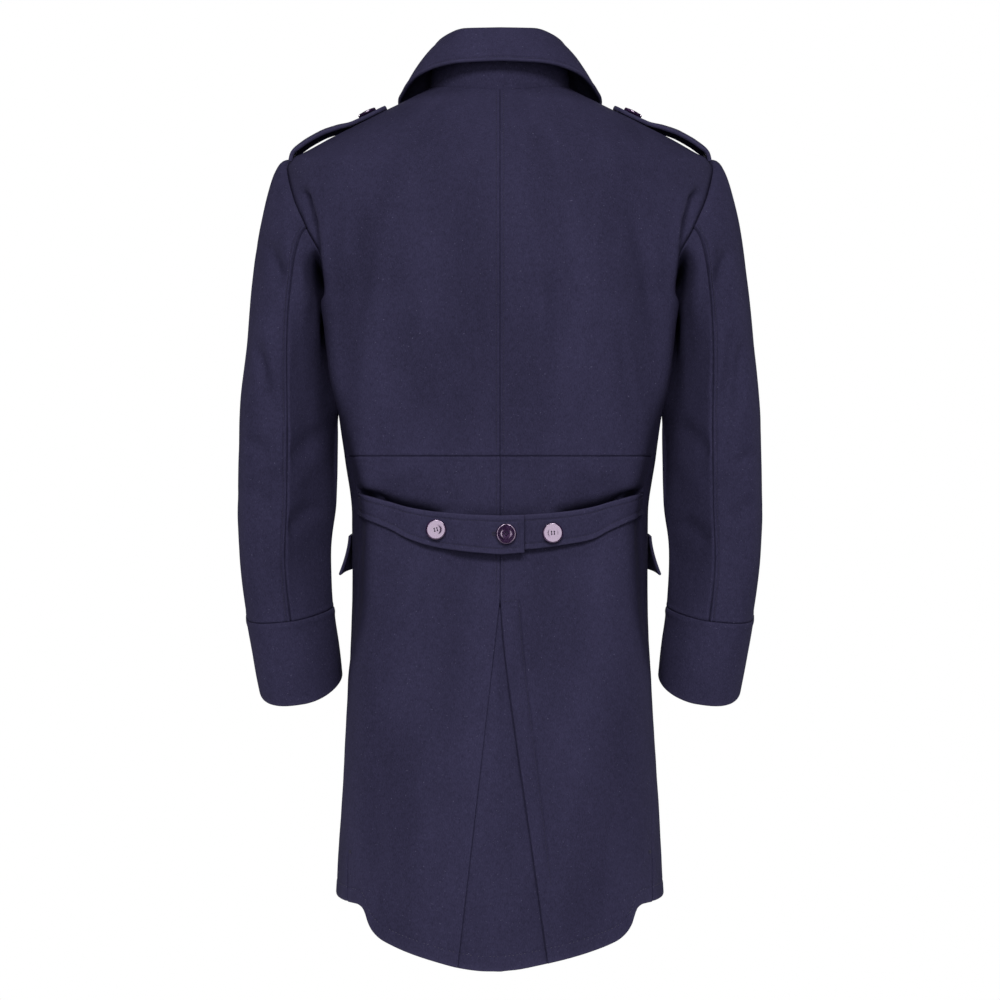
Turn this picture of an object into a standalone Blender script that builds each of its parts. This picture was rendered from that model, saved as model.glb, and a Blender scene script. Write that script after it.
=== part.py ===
"""Knee-length wool overcoat, hollow and in its worn form.

Frame: metres, +Z up, the coat's front faces -Y and the wearer's left is +X.
The origin lies at the base of the neck, where the coat sits on the shoulders.
Tables and functions work in millimetres; MM turns them into metres where a
mesh is made.
"""
import math

import bpy
import bmesh
import numpy as np
from mathutils import Matrix, Vector

MM = 0.001

# ---------------------------------------------------------------- sizes (mm)
WALL = 2.5              # melton wool, one layer
FALL_WALL = 4.0         # collar fall, two layers
STRAP_WALL = 4.4        # shoulder strap, two layers
BELT_WALL = 4.2         # half belt, two layers
FLAP_WALL = 3.6         # pocket flap, two layers
SEAM = 0.3              # gap between pieces at a seam

NECK = 21.6             # side height of the neck seam
SHOULDER = -60.0        # side height of the shoulder point
ARMPIT = -252.0         # side height of the armhole's lowest point
WAIST_SEAM = -397.0     # height of the seam across the back
PLEAT_TOP = -556.0      # where the inverted pleat opens
FRONT_HEM = -888.0      # hem of the fronts, level all round
LAP = 35.0              # how far each front passes the centre front
LAP_RISE = 3.4          # how far the left front stands over the right one
PLEAT_RECESS = 3.8      # how far the pleat underlay lies inside the skirt
PLEAT_TUCK = 16.0       # how far the underlay passes behind each fold
CUFF_PROUD = 1.2        # the cuff band stands this far out from the sleeve
BUTTON_D = 22.5
BUTTON_H = 3.6
COLLAR_ROLL = 3.6       # radius of the collar's fold

# Body sections.  Each is a rounded ring; side_z is its height at the sides,
# back_z and front_z at the centre back and front.  hole_* is how far the
# armhole's edge lies from the side, in degrees; pinch is how far the back is drawn
# in beside the side seams, as a part of the half width.
BODY_COLUMNS = ("level", "side_z", "back_z", "front_z", "half_width", "back_depth",
                "front_depth", "front_square", "back_square", "pinch", "hole_back", "hole_front")
BODY = (
    ("hem",      -960.0, -960.0, -960.0, 189.0, 166.0, 150.0, 2.20, 2.80, 0.000, 0.0, 0.0),
    ("knee",     -800.0, -800.0, -800.0, 179.2, 150.0, 140.0, 2.20, 3.60, 0.000, 0.0, 0.0),
    ("hip",      -650.0, -650.0, -650.0, 170.2, 134.0, 131.0, 2.20, 5.40, 0.004, 0.0, 0.0),
    ("seat",     -560.0, -560.0, -560.0, 168.0, 122.0, 124.0, 2.20, 7.50, 0.078, 0.0, 0.0),
    ("belt",     -465.0, -465.0, -465.0, 168.0, 112.5, 119.0, 2.25, 9.00, 0.100, 0.0, 0.0),
    ("waist",    -397.0, -397.0, -397.0, 177.0, 112.5, 120.0, 2.30, 8.50, 0.072, 0.0, 0.0),
    ("ribs",     -320.0, -320.0, -320.0, 187.0, 120.0, 124.0, 2.30, 7.00, 0.016, 0.0, 0.0),
    ("armpit",   -252.0, -252.0, -252.0, 193.0, 127.0, 127.0, 2.30, 4.80, 0.000, 0.0, 0.0),
    ("arm_1",    -215.0, -218.0, -218.0, 206.0, 129.0, 129.0, 2.25, 3.10, 0.000, 20.4, 15.0),
    ("arm_2",    -178.0, -185.0, -190.0, 222.0, 130.0, 129.0, 2.20, 2.75, 0.000, 21.8, 18.5),
    ("arm_3",    -140.0, -155.0, -165.0, 236.0, 129.0, 127.0, 2.10, 2.40, 0.000, 16.4, 15.5),
    ("arm_4",    -103.0, -128.0, -145.0, 241.0, 126.5, 125.0, 2.05, 2.15, 0.000,  9.0,  9.0),
    ("arm_5",     -76.0, -108.0, -132.0, 242.0, 123.0, 123.0, 2.00, 2.00, 0.000,  3.3,  3.6),
    ("shoulder",  -60.0,  -95.0, -125.0, 237.0, 120.5, 122.0, 2.00, 2.00, 0.000, 0.0, 0.0),
    ("ridge_0",   -55.0,  -88.5, -120.0, 226.5, 118.5, 120.7, 2.00, 2.00, 0.000, 0.0, 0.0),
    ("ridge_1",   -38.0,  -66.0, -104.0, 195.0, 111.0, 116.0, 2.00, 2.00, 0.000, 0.0, 0.0),
    ("ridge_2",   -15.0,  -36.0,  -82.0, 150.0,  98.0, 106.0, 2.00, 2.00, 0.000, 0.0, 0.0),
    ("ridge_3",     6.0,   -8.0,  -62.0, 108.0,  80.0,  94.0, 2.00, 2.00, 0.000, 0.0, 0.0),
    ("neck",       21.6,   14.0,  -48.0,  77.0,  62.0,  82.0, 2.00, 2.00, 0.000, 0.0, 0.0),
)

# Side seam: how far round from the centre back it lies, in degrees.
SIDE_SEAM_COLUMNS = ("height", "angle")
SIDE_SEAM = ((-960.0, 58.0), (-888.0, 58.2), (-836.0, 59.0), (-740.0, 63.0), (-650.0, 67.5), (-560.0, 72.5),
             (-490.0, 74.0), (-460.0, 74.0), (-397.0, 75.0), (-320.0, 82.0), (-252.0, 90.0))

# Hem of the skirt back: height at a distance from the centre back.
BACK_HEM_COLUMNS = ("across", "left", "right")
BACK_HEM = ((0.0, -957.0, -957.0), (46.0, -950.8, -947.5), (70.0, -945.0, -942.5),
            (99.0, -936.5, -935.0), (122.0, -927.8, -927.5), (130.0, -924.0, -924.0),
            (138.5, -917.4, -917.4), (144.5, -908.5, -908.5), (148.0, -898.0, -898.0),
            (151.0, -892.0, -892.0), (158.0, -888.5, -888.5), (190.0, -888.0, -888.0))

# Pleat folds: distance of each fold from the centre back at a height.
PLEAT_FOLD_COLUMNS = ("height", "left", "right")
PLEAT_FOLD = ((-556.0, 0.15, 0.15), (-590.0, 3.0, 5.0), (-706.0, 17.5, 19.0),
              (-792.0, 27.5, 30.0), (-955.0, 46.5, 53.0))

# Where the armhole's points go round the sleeve (degrees from its outer side).
ARMHOLE_COLUMNS = ("around", "side_z")
ARMHOLE = ((0.0, -60.0), (20.0, -76.0), (50.0, -103.0), (90.0, -140.0),
           (122.0, -178.0), (150.0, -215.0), (180.0, -252.0))

# Sleeve sections, tipped forward and sideways by degrees: rounded, square at the
# outer back and flat from the back seam to the inner side.
SLEEVE_COLUMNS = ("level", "x", "y", "z", "half_width", "half_depth", "tip_forward", "tip_side",
                  "outer_square", "inner_square")
SLEEVE = (
    ("bicep",       239.2,   0.0, -290.0, 51.6, 74.0,  3.0, 20.0, 3.2, 1.20),
    ("upper_elbow", 240.2,   0.0, -367.0, 56.0, 69.0,  4.0,  6.0, 4.0, 1.10),
    ("elbow",       242.0,  -1.0, -447.0, 55.9, 65.0,  6.0,  0.0, 4.4, 1.10),
    ("fore_arm",    244.2,  -2.0, -503.5, 51.9, 61.0,  8.0, -2.0, 4.4, 1.12),
    ("cuff_seam",   238.9,  -5.0, -573.6, 49.3, 57.0,  9.5, -4.0, 3.8, 1.40),
    ("wrist",       232.8,  -9.0, -615.8, 48.3, 54.5, 18.0, -6.0, 3.3, 1.70),
    ("sleeve_end",  227.6, -14.0, -653.4, 46.7, 52.5, 27.0, -6.0, 2.9, 1.80),
)
FRONT_SLEEVE_SEAM = -112.5   # degrees round from the sleeve's outer side
BACK_SLEEVE_SEAM = 90.0
CROWN_RISE = 5.2             # roundness of the sleeve head over the shoulder
SLEEVE_TURN = 5.0            # the lower sleeve is turned a little on the armhole

# Collar sections round the neck (degrees from the centre back): the fold's
# crest and the fall's edge on the wearer's left; the right is its mirror.
COLLAR_COLUMNS = ("angle", "fold_x", "fold_y", "fold_z", "edge_x", "edge_y", "edge_z")
COLLAR = (
    (0.0,    0.0,  57.0,  80.6,   0.0,   80.0,  45.5),
    (30.0,  37.5,  50.0,  80.8,  47.0,   75.0,  44.0),
    (60.0,  62.5,  31.0,  73.5,  90.0,   50.0,  34.0),
    (85.0,  75.0,   6.0,  57.5, 108.5,   16.0,  17.0),
    (110.0, 75.0, -26.0,  41.0, 116.0,  -34.0,   5.0),
    (125.0, 66.0, -48.0,  28.0, 108.0,  -76.0, -22.0),
    (140.0, 52.0, -66.0,  12.0,  88.0, -110.0, -58.0),
    (160.0, 27.0, -82.0,  -7.0,  62.0, -126.0, -84.0),
    (176.0,  6.0, -87.5, -14.0,  42.0, -131.0, -93.0),
)

# Half belt: edges and stand-off from the coat at a distance from the centre.
# "top" and "low" are heights; the left piece passes over the right one.
BELT_COLUMNS = ("across", "top", "low_left", "low_right", "stand_off")
BELT = (
    (0.0,   -461.8, -506.5, -501.8, 11.0),
    (35.0,  -460.5, -503.5, -500.0, 11.0),
    (72.0,  -457.5, -497.5, -495.0, 9.5),
    (100.0, -453.0, -489.0, -489.5, 6.5),
    (125.0, -446.0, -476.0, -477.0, 3.8),
    (145.0, -440.0, -467.5, -467.5, 2.2),
    (158.0, -436.2, -462.5, -462.5, 1.9),
)
BELT_LEFT_END = -27.0    # x of the free end of the left piece
BELT_RIGHT_END = 30.0    # x of the hidden end of the right piece
BELT_SIDE_END = 157.0    # where both pieces meet the side seams
BELT_LAP_RISE = BELT_WALL + 0.8

# Shoulder strap: top face above the shoulder ridge, and half its width.
STRAP_COLUMNS = ("x", "above_ridge", "half_width")
STRAP = (
    (237.6,  4.6, 25.0),
    (236.2,  8.0, 25.0),
    (232.6, 10.8, 25.0),
    (226.0, 12.8, 24.8),
    (218.0, 14.2, 24.5),
    (204.0, 14.8, 24.0),
    (186.0, 12.2, 23.4),
    (167.0,  7.0, 22.8),
    (148.0,  6.2, 22.2),
    (138.0,  6.2, 19.0),
    (130.0,  6.2, 9.0),
)
STRAP_ARCH = 0.0040      # drop across the strap, per mm squared

# Pocket flap on each front: stations run forward from the side.
FLAP_COLUMNS = ("angle", "top", "low", "flare")
FLAP = (
    (93.0,  -488.0, -532.0, 11.5),
    (98.0,  -486.0, -529.0, 9.0),
    (106.0, -482.5, -526.0, 6.5),
    (116.0, -478.5, -522.0, 4.5),
    (127.0, -474.0, -517.5, 4.0),
    (137.0, -470.0, -513.5, 4.0),
)

# Buttons: x on the belt's centre line; heights down the centre front.
BELT_BUTTONS = (("belt_button_left", 69.8, -478.0), ("belt_button_middle", -6.8, -483.0),
                ("belt_button_right", -57.6, -481.8))
FRONT_BUTTON_HEIGHTS = (-105.0, -200.0, -295.0, -390.0, -485.0)
STRAP_BUTTON_X = 150.0

# Stations of the coarse grid.
BACK_ACROSS = (0.0, 0.16, 0.32, 0.46, 0.58, 0.68, 0.76, 0.82, 0.87, 0.93, 1.0)
SKIRT_ROWS = (-397.0, -430.0, -465.0, -510.0, -560.0, -640.0, -720.0, -800.0, -852.0, -888.0)
CHEST_ROWS = (-397.0, -350.0, -302.0, -252.0)
RIDGE_ROWS = (-60.0, -46.0, -30.0, -15.0, -2.0, 10.0, 21.6)
ROUND_STEP = 22.5        # degrees between the sleeve's points
HEAD_ROWS = (0.0, 0.10, 0.22, 0.38, 0.56, 0.78, 1.0)
ARM_ROWS = (1.5, 2.0, 2.5, 3.0, 3.5, 4.0, 4.5, 5.0)
CUFF_ROWS = (5.0, 5.5, 6.0, 6.5, 7.0)
FRONT_ACROSS = (0.0, 0.18, 0.36, 0.54, 0.76, 1.0)
LAP_STATIONS = (58.0, 48.0, 38.0, 14.0, -10.0, -LAP)

WOOL = (0.032, 0.028, 0.060)
WOOL_LIGHT = (0.038, 0.034, 0.072)
PLUM = (0.085, 0.030, 0.110)


# ------------------------------------------------------------------- helpers
def curve(stations, values):
    """Monotone smooth curve through a table's column (clamped at its ends)."""
    xs = np.array(stations, float)
    ys = np.array(values, float)
    if xs[0] > xs[-1]:
        xs, ys = xs[::-1], ys[::-1]
    h = np.diff(xs)
    d = np.diff(ys) / h
    m = np.zeros(len(xs))
    m[0], m[-1] = d[0], d[-1]
    for i in range(1, len(xs) - 1):
        if d[i - 1] * d[i] > 0:
            w1, w2 = 2 * h[i] + h[i - 1], h[i] + 2 * h[i - 1]
            m[i] = (w1 + w2) / (w1 / d[i - 1] + w2 / d[i])

    def at(x):
        x = min(max(float(x), xs[0]), xs[-1])
        i = min(int(np.searchsorted(xs, x, side="right")) - 1, len(h) - 1)
        t = (x - xs[i]) / h[i]
        return ((1 + 2 * t) * (1 - t) ** 2 * ys[i] + t * (1 - t) ** 2 * h[i] * m[i]
                + t * t * (3 - 2 * t) * ys[i + 1] + t * t * (t - 1) * h[i] * m[i + 1])
    return at


def columns(table, names, key):
    """One smooth curve for each named column of a table, read at column key."""
    k = names.index(key)
    return {n: curve([r[k] for r in table], [r[i] for r in table])
            for i, n in enumerate(names) if i != k and not isinstance(table[0][i], str)}


def unit(v):
    return v / np.linalg.norm(v)


def smoothstep(t):
    t = min(max(t, 0.0), 1.0)
    return t * t * (3 - 2 * t)


BODY_AT = columns(BODY, BODY_COLUMNS, "side_z")
SIDE_SEAM_AT = columns(SIDE_SEAM, SIDE_SEAM_COLUMNS, "height")["angle"]
BACK_HEM_AT = columns(BACK_HEM, BACK_HEM_COLUMNS, "across")
PLEAT_AT = columns(PLEAT_FOLD, PLEAT_FOLD_COLUMNS, "height")
ARMHOLE_AT = columns(ARMHOLE, ARMHOLE_COLUMNS, "around")["side_z"]
COLLAR_AT = columns(COLLAR, COLLAR_COLUMNS, "angle")
BELT_AT = columns(BELT, BELT_COLUMNS, "across")
STRAP_AT = columns(STRAP, STRAP_COLUMNS, "x")
FLAP_AT = columns(FLAP, FLAP_COLUMNS, "angle")
SLEEVE_AT = {n: curve(range(1, len(SLEEVE) + 1), [r[i] for r in SLEEVE])
             for i, n in enumerate(SLEEVE_COLUMNS) if i > 0}


# ------------------------------------------------------------------ surfaces
def body(angle, s):
    """Outer face of the coat: angle in degrees from the centre back towards
    the wearer's left, s the height at the side."""
    t = math.radians(angle)
    c, q = math.cos(t), math.sin(t)
    half = "back" if c >= 0 else "front"
    depth, mid_z = half + "_depth", half + "_z"
    n = BODY_AT[half + "_square"](s)
    width = BODY_AT["half_width"](s) * (1 - BODY_AT["pinch"](s) * smoothstep(c / 0.5))
    r = ((abs(c) / BODY_AT[depth](s)) ** n + (abs(q) / width) ** n) ** (-1 / n)
    return np.array((r * q, r * c, s + (BODY_AT[mid_z](s) - s) * c * c))


def body_frame(angle, s):
    """Tangents round the body and up it, and the outward normal."""
    e, f = 0.05, 0.2
    lo, hi = max(s - f, -960.0), min(s + f, NECK)
    around = unit(body(angle + e, s) - body(angle - e, s))
    up = unit(body(angle, hi) - body(angle, lo))
    return around, up, unit(np.cross(up, around))


def body_angle(x, s, front=False):
    """Angle at which the body's ring at s passes the distance x."""
    a = 0.0 if not front else 180.0
    for _ in range(30):
        r = float(np.hypot(*body(a, s)[:2]))
        b = math.degrees(math.asin(max(-1.0, min(1.0, x / r))))
        a = b if not front else 180.0 - b
    return a


def gap_angle(angle, s, gap=SEAM / 2):
    return math.degrees(gap / float(np.hypot(*body(angle, s)[:2])))


def side_edge(s, back=True):
    """Angle of a back or front panel's outer edge: side seam, armhole, shoulder."""
    if s <= ARMPIT:
        a = SIDE_SEAM_AT(s)
    elif s < SHOULDER:
        a = 90.0 - BODY_AT["hole_back"](s) if back else 90.0 + BODY_AT["hole_front"](s)
    else:
        a = 90.0
    g = gap_angle(a, s)
    return a - g if back else a + g


def armhole(around):
    """Point of the armhole's edge, and the directions past it and out of it."""
    a = around % 360.0
    back = a <= 180.0
    s = ARMHOLE_AT(a if back else 360.0 - a)
    angle = 90.0 - BODY_AT["hole_back"](s) if back else 90.0 + BODY_AT["hole_front"](s)
    around_dir, up, normal = body_frame(angle, s)
    c, q = math.cos(math.radians(a)), math.sin(math.radians(a))
    past = unit(abs(q) * q * around_dir - c * abs(c) * up)
    return body(angle, s), past, normal


def sleeve_section(around, t):
    """Rounded part of the sleeve, t from 1 (bicep) to 7 (sleeve end)."""
    k = {n: f(t) for n, f in SLEEVE_AT.items()}
    c, q = math.cos(math.radians(around)), math.sin(math.radians(around))
    n = 2.0 if q < 0 else (k["outer_square"] if c >= 0 else k["inner_square"])
    r = (abs(c) ** n + abs(q) ** n) ** (-1 / n)
    turned = math.radians(around + SLEEVE_TURN)
    p = np.array((k["half_width"] * r * math.cos(turned), k["half_depth"] * r * math.sin(turned), 0.0))
    f, g = math.radians(k["tip_forward"]), math.radians(k["tip_side"])
    p = np.array((p[0], p[1] * math.cos(f), -p[1] * math.sin(f)))
    p = np.array((p[0] * math.cos(g) - p[2] * math.sin(g), p[1],
                  p[0] * math.sin(g) + p[2] * math.cos(g)))
    return p + np.array((k["x"], k["y"], k["z"]))


def sleeve(around, t):
    """Outer face of the left sleeve: t from 0 (armhole) over 1 (bicep) to 7."""
    if t >= 1.0:
        return sleeve_section(around, t)
    c, q = math.cos(math.radians(around)), math.sin(math.radians(around))
    edge, past, normal = armhole(around)
    p0 = edge + 0.4 * past + 0.3 * normal
    p1 = sleeve_section(around, 1.0)
    span = float(np.linalg.norm(p1 - p0))
    start = unit(np.array((0.88, 0.22 * q, -0.2 - 0.2 * c - 0.3 * q * q)))
    end = unit(sleeve_section(around, 1.02) - p1)
    h00, h10 = (1 + 2 * t) * (1 - t) ** 2, t * (1 - t) ** 2
    h01, h11 = t * t * (3 - 2 * t), t * t * (t - 1)
    p = h00 * p0 + h10 * (0.40 + 0.12 * c) * span * start + h01 * p1 + h11 * span * end
    crown = CROWN_RISE * max(0.0, c) * (t / 0.09) * math.exp(1.0 - t / 0.09)
    return p + crown * np.array((0.86, 0.0, 0.5))


def sleeve_normal(around, t):
    e, f = 0.5, 0.01
    lo, hi = max(t - f, 0.0), min(t + f, 7.0)
    around_dir = sleeve(around + e, t) - sleeve(around - e, t)
    down = sleeve(around, hi) - sleeve(around, lo)
    return unit(np.cross(around_dir, -down))


def collar(angle, w):
    """Middle of the collar's cloth: w 0-1 the stand, 1-2 its fold, 2-3 the fall."""
    a, side = abs(angle), (1.0 if angle >= 0 else -1.0)
    k = {n: f(a) for n, f in COLLAR_AT.items()}
    fold = np.array((k["fold_x"], k["fold_y"], k["fold_z"]))
    edge = np.array((k["edge_x"], k["edge_y"], k["edge_z"]))
    out = edge - fold
    out[2] = 0.0
    out = unit(out)
    up = np.array((0.0, 0.0, 1.0))
    around_dir, rise, normal = body_frame(a, NECK)
    base = body(a, NECK) + 0.5 * rise + 0.3 * normal
    inward = -unit(np.array((base[0], base[1], 0.0)))
    base = base + 0.6 * WALL * inward
    axis = fold - COLLAR_ROLL * up
    if w <= 1.0:
        top = axis - COLLAR_ROLL * out
        bulge = 2.5 * math.sin(math.pi * w)
        p = base + (top - base) * w - bulge * inward * 0.6
    elif w <= 2.0:
        g = math.pi * (w - 1.0)
        p = axis + COLLAR_ROLL * (math.sin(g) * up - math.cos(g) * out)
    else:
        q = w - 2.0
        start = axis + COLLAR_ROLL * out
        bend = start + (edge - start) * (0.52, 0.52, 0.28)
        p = (1 - q) ** 2 * start + 2 * q * (1 - q) * bend + q * q * edge
    return np.array((side * p[0], p[1], p[2]))


def collar_normal(angle, w):
    e, f = 0.5, 0.01
    lo, hi = max(w - f, 0.0), min(w + f, 3.0)
    a0, a1 = max(angle - e, -176.0), min(angle + e, 176.0)
    return unit(np.cross(collar(angle, hi) - collar(angle, lo),
                         collar(a1, w) - collar(a0, w)) * -1.0)


def belt_point(x, down, rise, low):
    """Half belt's outer face: x across, down 0 (top edge) to 1 (low edge)."""
    z = BELT_AT["top"](abs(x)) * (1 - down) + BELT_AT[low](abs(x)) * down
    angle = body_angle(x, z)
    normal = body_frame(angle, z)[2]
    return body(angle, z) + (BELT_AT["stand_off"](abs(x)) + BELT_WALL + rise) * normal


def strap_point(x, across):
    """Shoulder strap's top face on the wearer's left."""
    y = across * STRAP_AT["half_width"](x)
    ridge = NECK - (x - 77.0) * (NECK - SHOULDER) / (240.0 - 77.0)
    return np.array((x, y, ridge + STRAP_AT["above_ridge"](x) - STRAP_ARCH * y * y))


def flap_point(angle, down):
    """Pocket flap's outer face on the left front."""
    z = FLAP_AT["top"](angle) * (1 - down) + FLAP_AT["low"](angle) * down
    normal = body_frame(angle, z)[2]
    return body(angle, z) + (FLAP_WALL + 1.7 + FLAP_AT["flare"](angle) * down ** 1.6) * normal


def grid_normals(fn, us, vs, flip=1.0, eu=0.05, ev=0.01):
    """Normals of the surface fn(u, v) at every station."""
    out = []
    for v in vs:
        row = []
        for u in us:
            du = fn(min(u + eu, max(us)), v) - fn(max(u - eu, min(us)), v)
            dv = fn(u, min(v + ev, max(vs))) - fn(u, max(v - ev, min(vs)))
            row.append(flip * unit(np.cross(du, dv)))
        out.append(row)
    return np.array(out)


# ------------------------------------------------------------ making objects
for old in list(bpy.data.objects):
    bpy.data.objects.remove(old, do_unlink=True)
COAT = bpy.data.collections.new("overcoat")
bpy.context.scene.collection.children.link(COAT)
CUTTERS = bpy.data.collections.new("overcoat_cutters")
bpy.context.scene.collection.children.link(CUTTERS)
ROOT = bpy.data.objects.new("overcoat_frame", None)
COAT.objects.link(ROOT)


def material(name, colour, rough):
    mat = bpy.data.materials.new(name)
    mat.use_nodes = True
    shader = mat.node_tree.nodes["Principled BSDF"]
    shader.inputs["Base Color"].default_value = (*colour, 1.0)
    shader.inputs["Roughness"].default_value = rough
    shader.inputs["Metallic"].default_value = 0.0
    return mat


def wall(name, points, normals, outside, inside, colour=WOOL, tube=False):
    """Closed wall through a grid of points: outside and inside give how far its
    two faces lie along the normals.  A tube's rows close on themselves."""
    p, n = np.array(points), np.array(normals)
    rows, cols = p.shape[:2]
    outer, inner = (p + outside * n) * MM, (p - inside * n) * MM
    mesh = bpy.data.meshes.new(name)
    bm = bmesh.new()
    vo = [[bm.verts.new(outer[i, j]) for j in range(cols)] for i in range(rows)]
    vi = [[bm.verts.new(inner[i, j]) for j in range(cols)] for i in range(rows)]
    span = cols if tube else cols - 1
    for i in range(rows - 1):
        for j in range(span):
            k = (j + 1) % cols
            bm.faces.new((vo[i][j], vo[i][k], vo[i + 1][k], vo[i + 1][j]))
            bm.faces.new((vi[i][j], vi[i + 1][j], vi[i + 1][k], vi[i][k]))
        if not tube:
            bm.faces.new((vo[i][0], vo[i + 1][0], vi[i + 1][0], vi[i][0]))
            bm.faces.new((vo[i][-1], vi[i][-1], vi[i + 1][-1], vo[i + 1][-1]))
    for j in range(span):
        k = (j + 1) % cols
        bm.faces.new((vo[0][j], vi[0][j], vi[0][k], vo[0][k]))
        bm.faces.new((vo[-1][j], vo[-1][k], vi[-1][k], vi[-1][j]))
    bmesh.ops.recalc_face_normals(bm, faces=bm.faces[:])
    if bm.calc_volume(signed=True) < 0:
        bmesh.ops.reverse_faces(bm, faces=bm.faces[:])
    for f in bm.faces:
        f.smooth = True
    bm.to_mesh(mesh)
    bm.free()
    mesh.set_sharp_from_angle(angle=math.radians(45.0))
    mesh.materials.append(material(name, colour, 0.95))
    obj = bpy.data.objects.new(name, mesh)
    COAT.objects.link(obj)
    obj.parent = ROOT
    return obj


def mirrored(points, side):
    p = np.array(points, float)
    p[..., 0] *= side
    return p


SIDES = (("left", 1.0), ("right", -1.0))
ROUND = [i * ROUND_STEP for i in range(int(360 / ROUND_STEP))]
ARMHOLE_ROWS = [ARMHOLE_AT(180.0 - i * ROUND_STEP) for i in range(1, int(180 / ROUND_STEP))]
UPPER_ROWS = list(CHEST_ROWS) + ARMHOLE_ROWS + list(RIDGE_ROWS)


def body_wall(name, angles_at, heights, side, rise=None, colour=WOOL):
    """Panel on the body's face.  angles_at(s) lists the angles of a row."""
    points, normals = [], []
    for s in heights:
        row_p, row_n = [], []
        for a in angles_at(s):
            normal = body_frame(a, s)[2]
            p = body(a, s)
            if rise is not None:
                p = p + rise(p) * normal
            row_p.append(p)
            row_n.append(normal)
        points.append(row_p)
        normals.append(row_n)
    return wall(name, mirrored(points, side), mirrored(normals, side), 0.0, WALL, colour)


# Upper back: from the waist seam to the neck, centre back to side and armhole.
def upper_back_angles(s):
    a0, a1 = gap_angle(0.0, s), side_edge(s, True)
    return [a0 + (a1 - a0) * u for u in BACK_ACROSS]


for side_name, side in SIDES:
    heights = [UPPER_ROWS[0] + SEAM / 2] + UPPER_ROWS[1:]
    body_wall("upper_back_" + side_name, upper_back_angles, heights, side)

# Skirt back: from the waist seam to the hem, pleat fold to side seam.
for side_name, side in SIDES:
    points, normals = [], []

    def skirt_angle(z, u, fold=side_name):
        x = PLEAT_AT[fold](z) if z < PLEAT_TOP else SEAM / 2
        a0, a1 = body_angle(x, z), side_edge(z, True)
        return a0 + (a1 - a0) * u

    for row, level in enumerate(SKIRT_ROWS):
        row_p, row_n = [], []
        for u in BACK_ACROSS:
            hem = FRONT_HEM
            for _ in range(12):
                hem = BACK_HEM_AT[side_name](body(skirt_angle(hem, u), hem)[0])
            z = WAIST_SEAM + (hem - WAIST_SEAM) * (level - WAIST_SEAM) / (FRONT_HEM - WAIST_SEAM)
            if row == 0:
                z -= SEAM / 2
            a = skirt_angle(z, u)
            row_p.append(body(a, z))
            row_n.append(body_frame(a, z)[2])
        points.append(row_p)
        normals.append(row_n)
    wall("skirt_back_" + side_name, mirrored(points, side), mirrored(normals, side), 0.0, WALL)

# Pleat underlay: a long wedge behind the two folds.
points, normals = [], []
for i in range(9):
    t = i / 8
    row_p, row_n = [], []
    for u in (0.0, 0.16, 0.33, 0.5, 0.67, 0.84, 1.0):
        hem = -955.0
        for _ in range(8):
            x = -(PLEAT_AT["right"](hem) + PLEAT_TUCK) * (1 - u) + (PLEAT_AT["left"](hem) + PLEAT_TUCK) * u
            hem = BACK_HEM_AT["left" if x > 0 else "right"](abs(x)) - 0.5
        z = PLEAT_TOP - 6.0 + (hem - PLEAT_TOP + 6.0) * t
        x = -(PLEAT_AT["right"](z) + PLEAT_TUCK) * (1 - u) + (PLEAT_AT["left"](z) + PLEAT_TUCK) * u
        a = body_angle(x, z)
        row_p.append(body(a, z))
        row_n.append(body_frame(a, z)[2])
    points.append(row_p)
    normals.append(row_n)
wall("pleat_underlay", points, normals, -PLEAT_RECESS, PLEAT_RECESS + WALL)

# Fronts: shoulder to hem, side seam and armhole to past the centre front.
def front_angles(s):
    a0 = side_edge(s, False)
    a1 = body_angle(LAP_STATIONS[0] * min(1.0, BODY_AT["half_width"](s) / 120.0), s, True)
    head = [a0 + (a1 - a0) * u for u in FRONT_ACROSS]
    return head + [body_angle(x * min(1.0, BODY_AT["half_width"](s) / 120.0), s, True)
                   for x in LAP_STATIONS[1:]]


def lap_rise(p):
    return LAP_RISE * smoothstep((58.0 - p[0]) / 18.0)


FRONT_ROWS = sorted(SKIRT_ROWS[1:]) + UPPER_ROWS
for side_name, side in SIDES:
    body_wall("front_" + side_name, front_angles, FRONT_ROWS, side,
              lap_rise if side_name == "left" else None)

# Sleeves: upper and under piece to the cuff seam, then the cuff as a band.
SLEEVE_PIECES = (("upper_sleeve_", FRONT_SLEEVE_SEAM, BACK_SLEEVE_SEAM),
                 ("under_sleeve_", BACK_SLEEVE_SEAM, FRONT_SLEEVE_SEAM + 360.0))
for side_name, side in SIDES:
    for piece, first, last in SLEEVE_PIECES:
        count = int(round((last - first) / ROUND_STEP))
        seams = [first + ROUND_STEP * i for i in range(count + 1)]
        stations = [seams[0] + 0.20] + seams[1:-1] + [seams[-1] - 0.20]
        rows = list(HEAD_ROWS) + list(ARM_ROWS)
        rows[-1] -= 0.003
        points = [[sleeve(a, t) for a in stations] for t in rows]
        normals = [[sleeve_normal(a, t) for a in seams] for t in rows]
        wall(piece + side_name, mirrored(points, side), mirrored(normals, side), 0.0, WALL)
    rows = list(CUFF_ROWS)
    rows[0] += 0.003
    points = [[sleeve(a, t) for a in ROUND] for t in rows]
    normals = [[sleeve_normal(a, t) for a in ROUND] for t in rows]
    wall("cuff_" + side_name, mirrored(points, side), mirrored(normals, side),
         CUFF_PROUD, WALL, tube=True)

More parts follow.
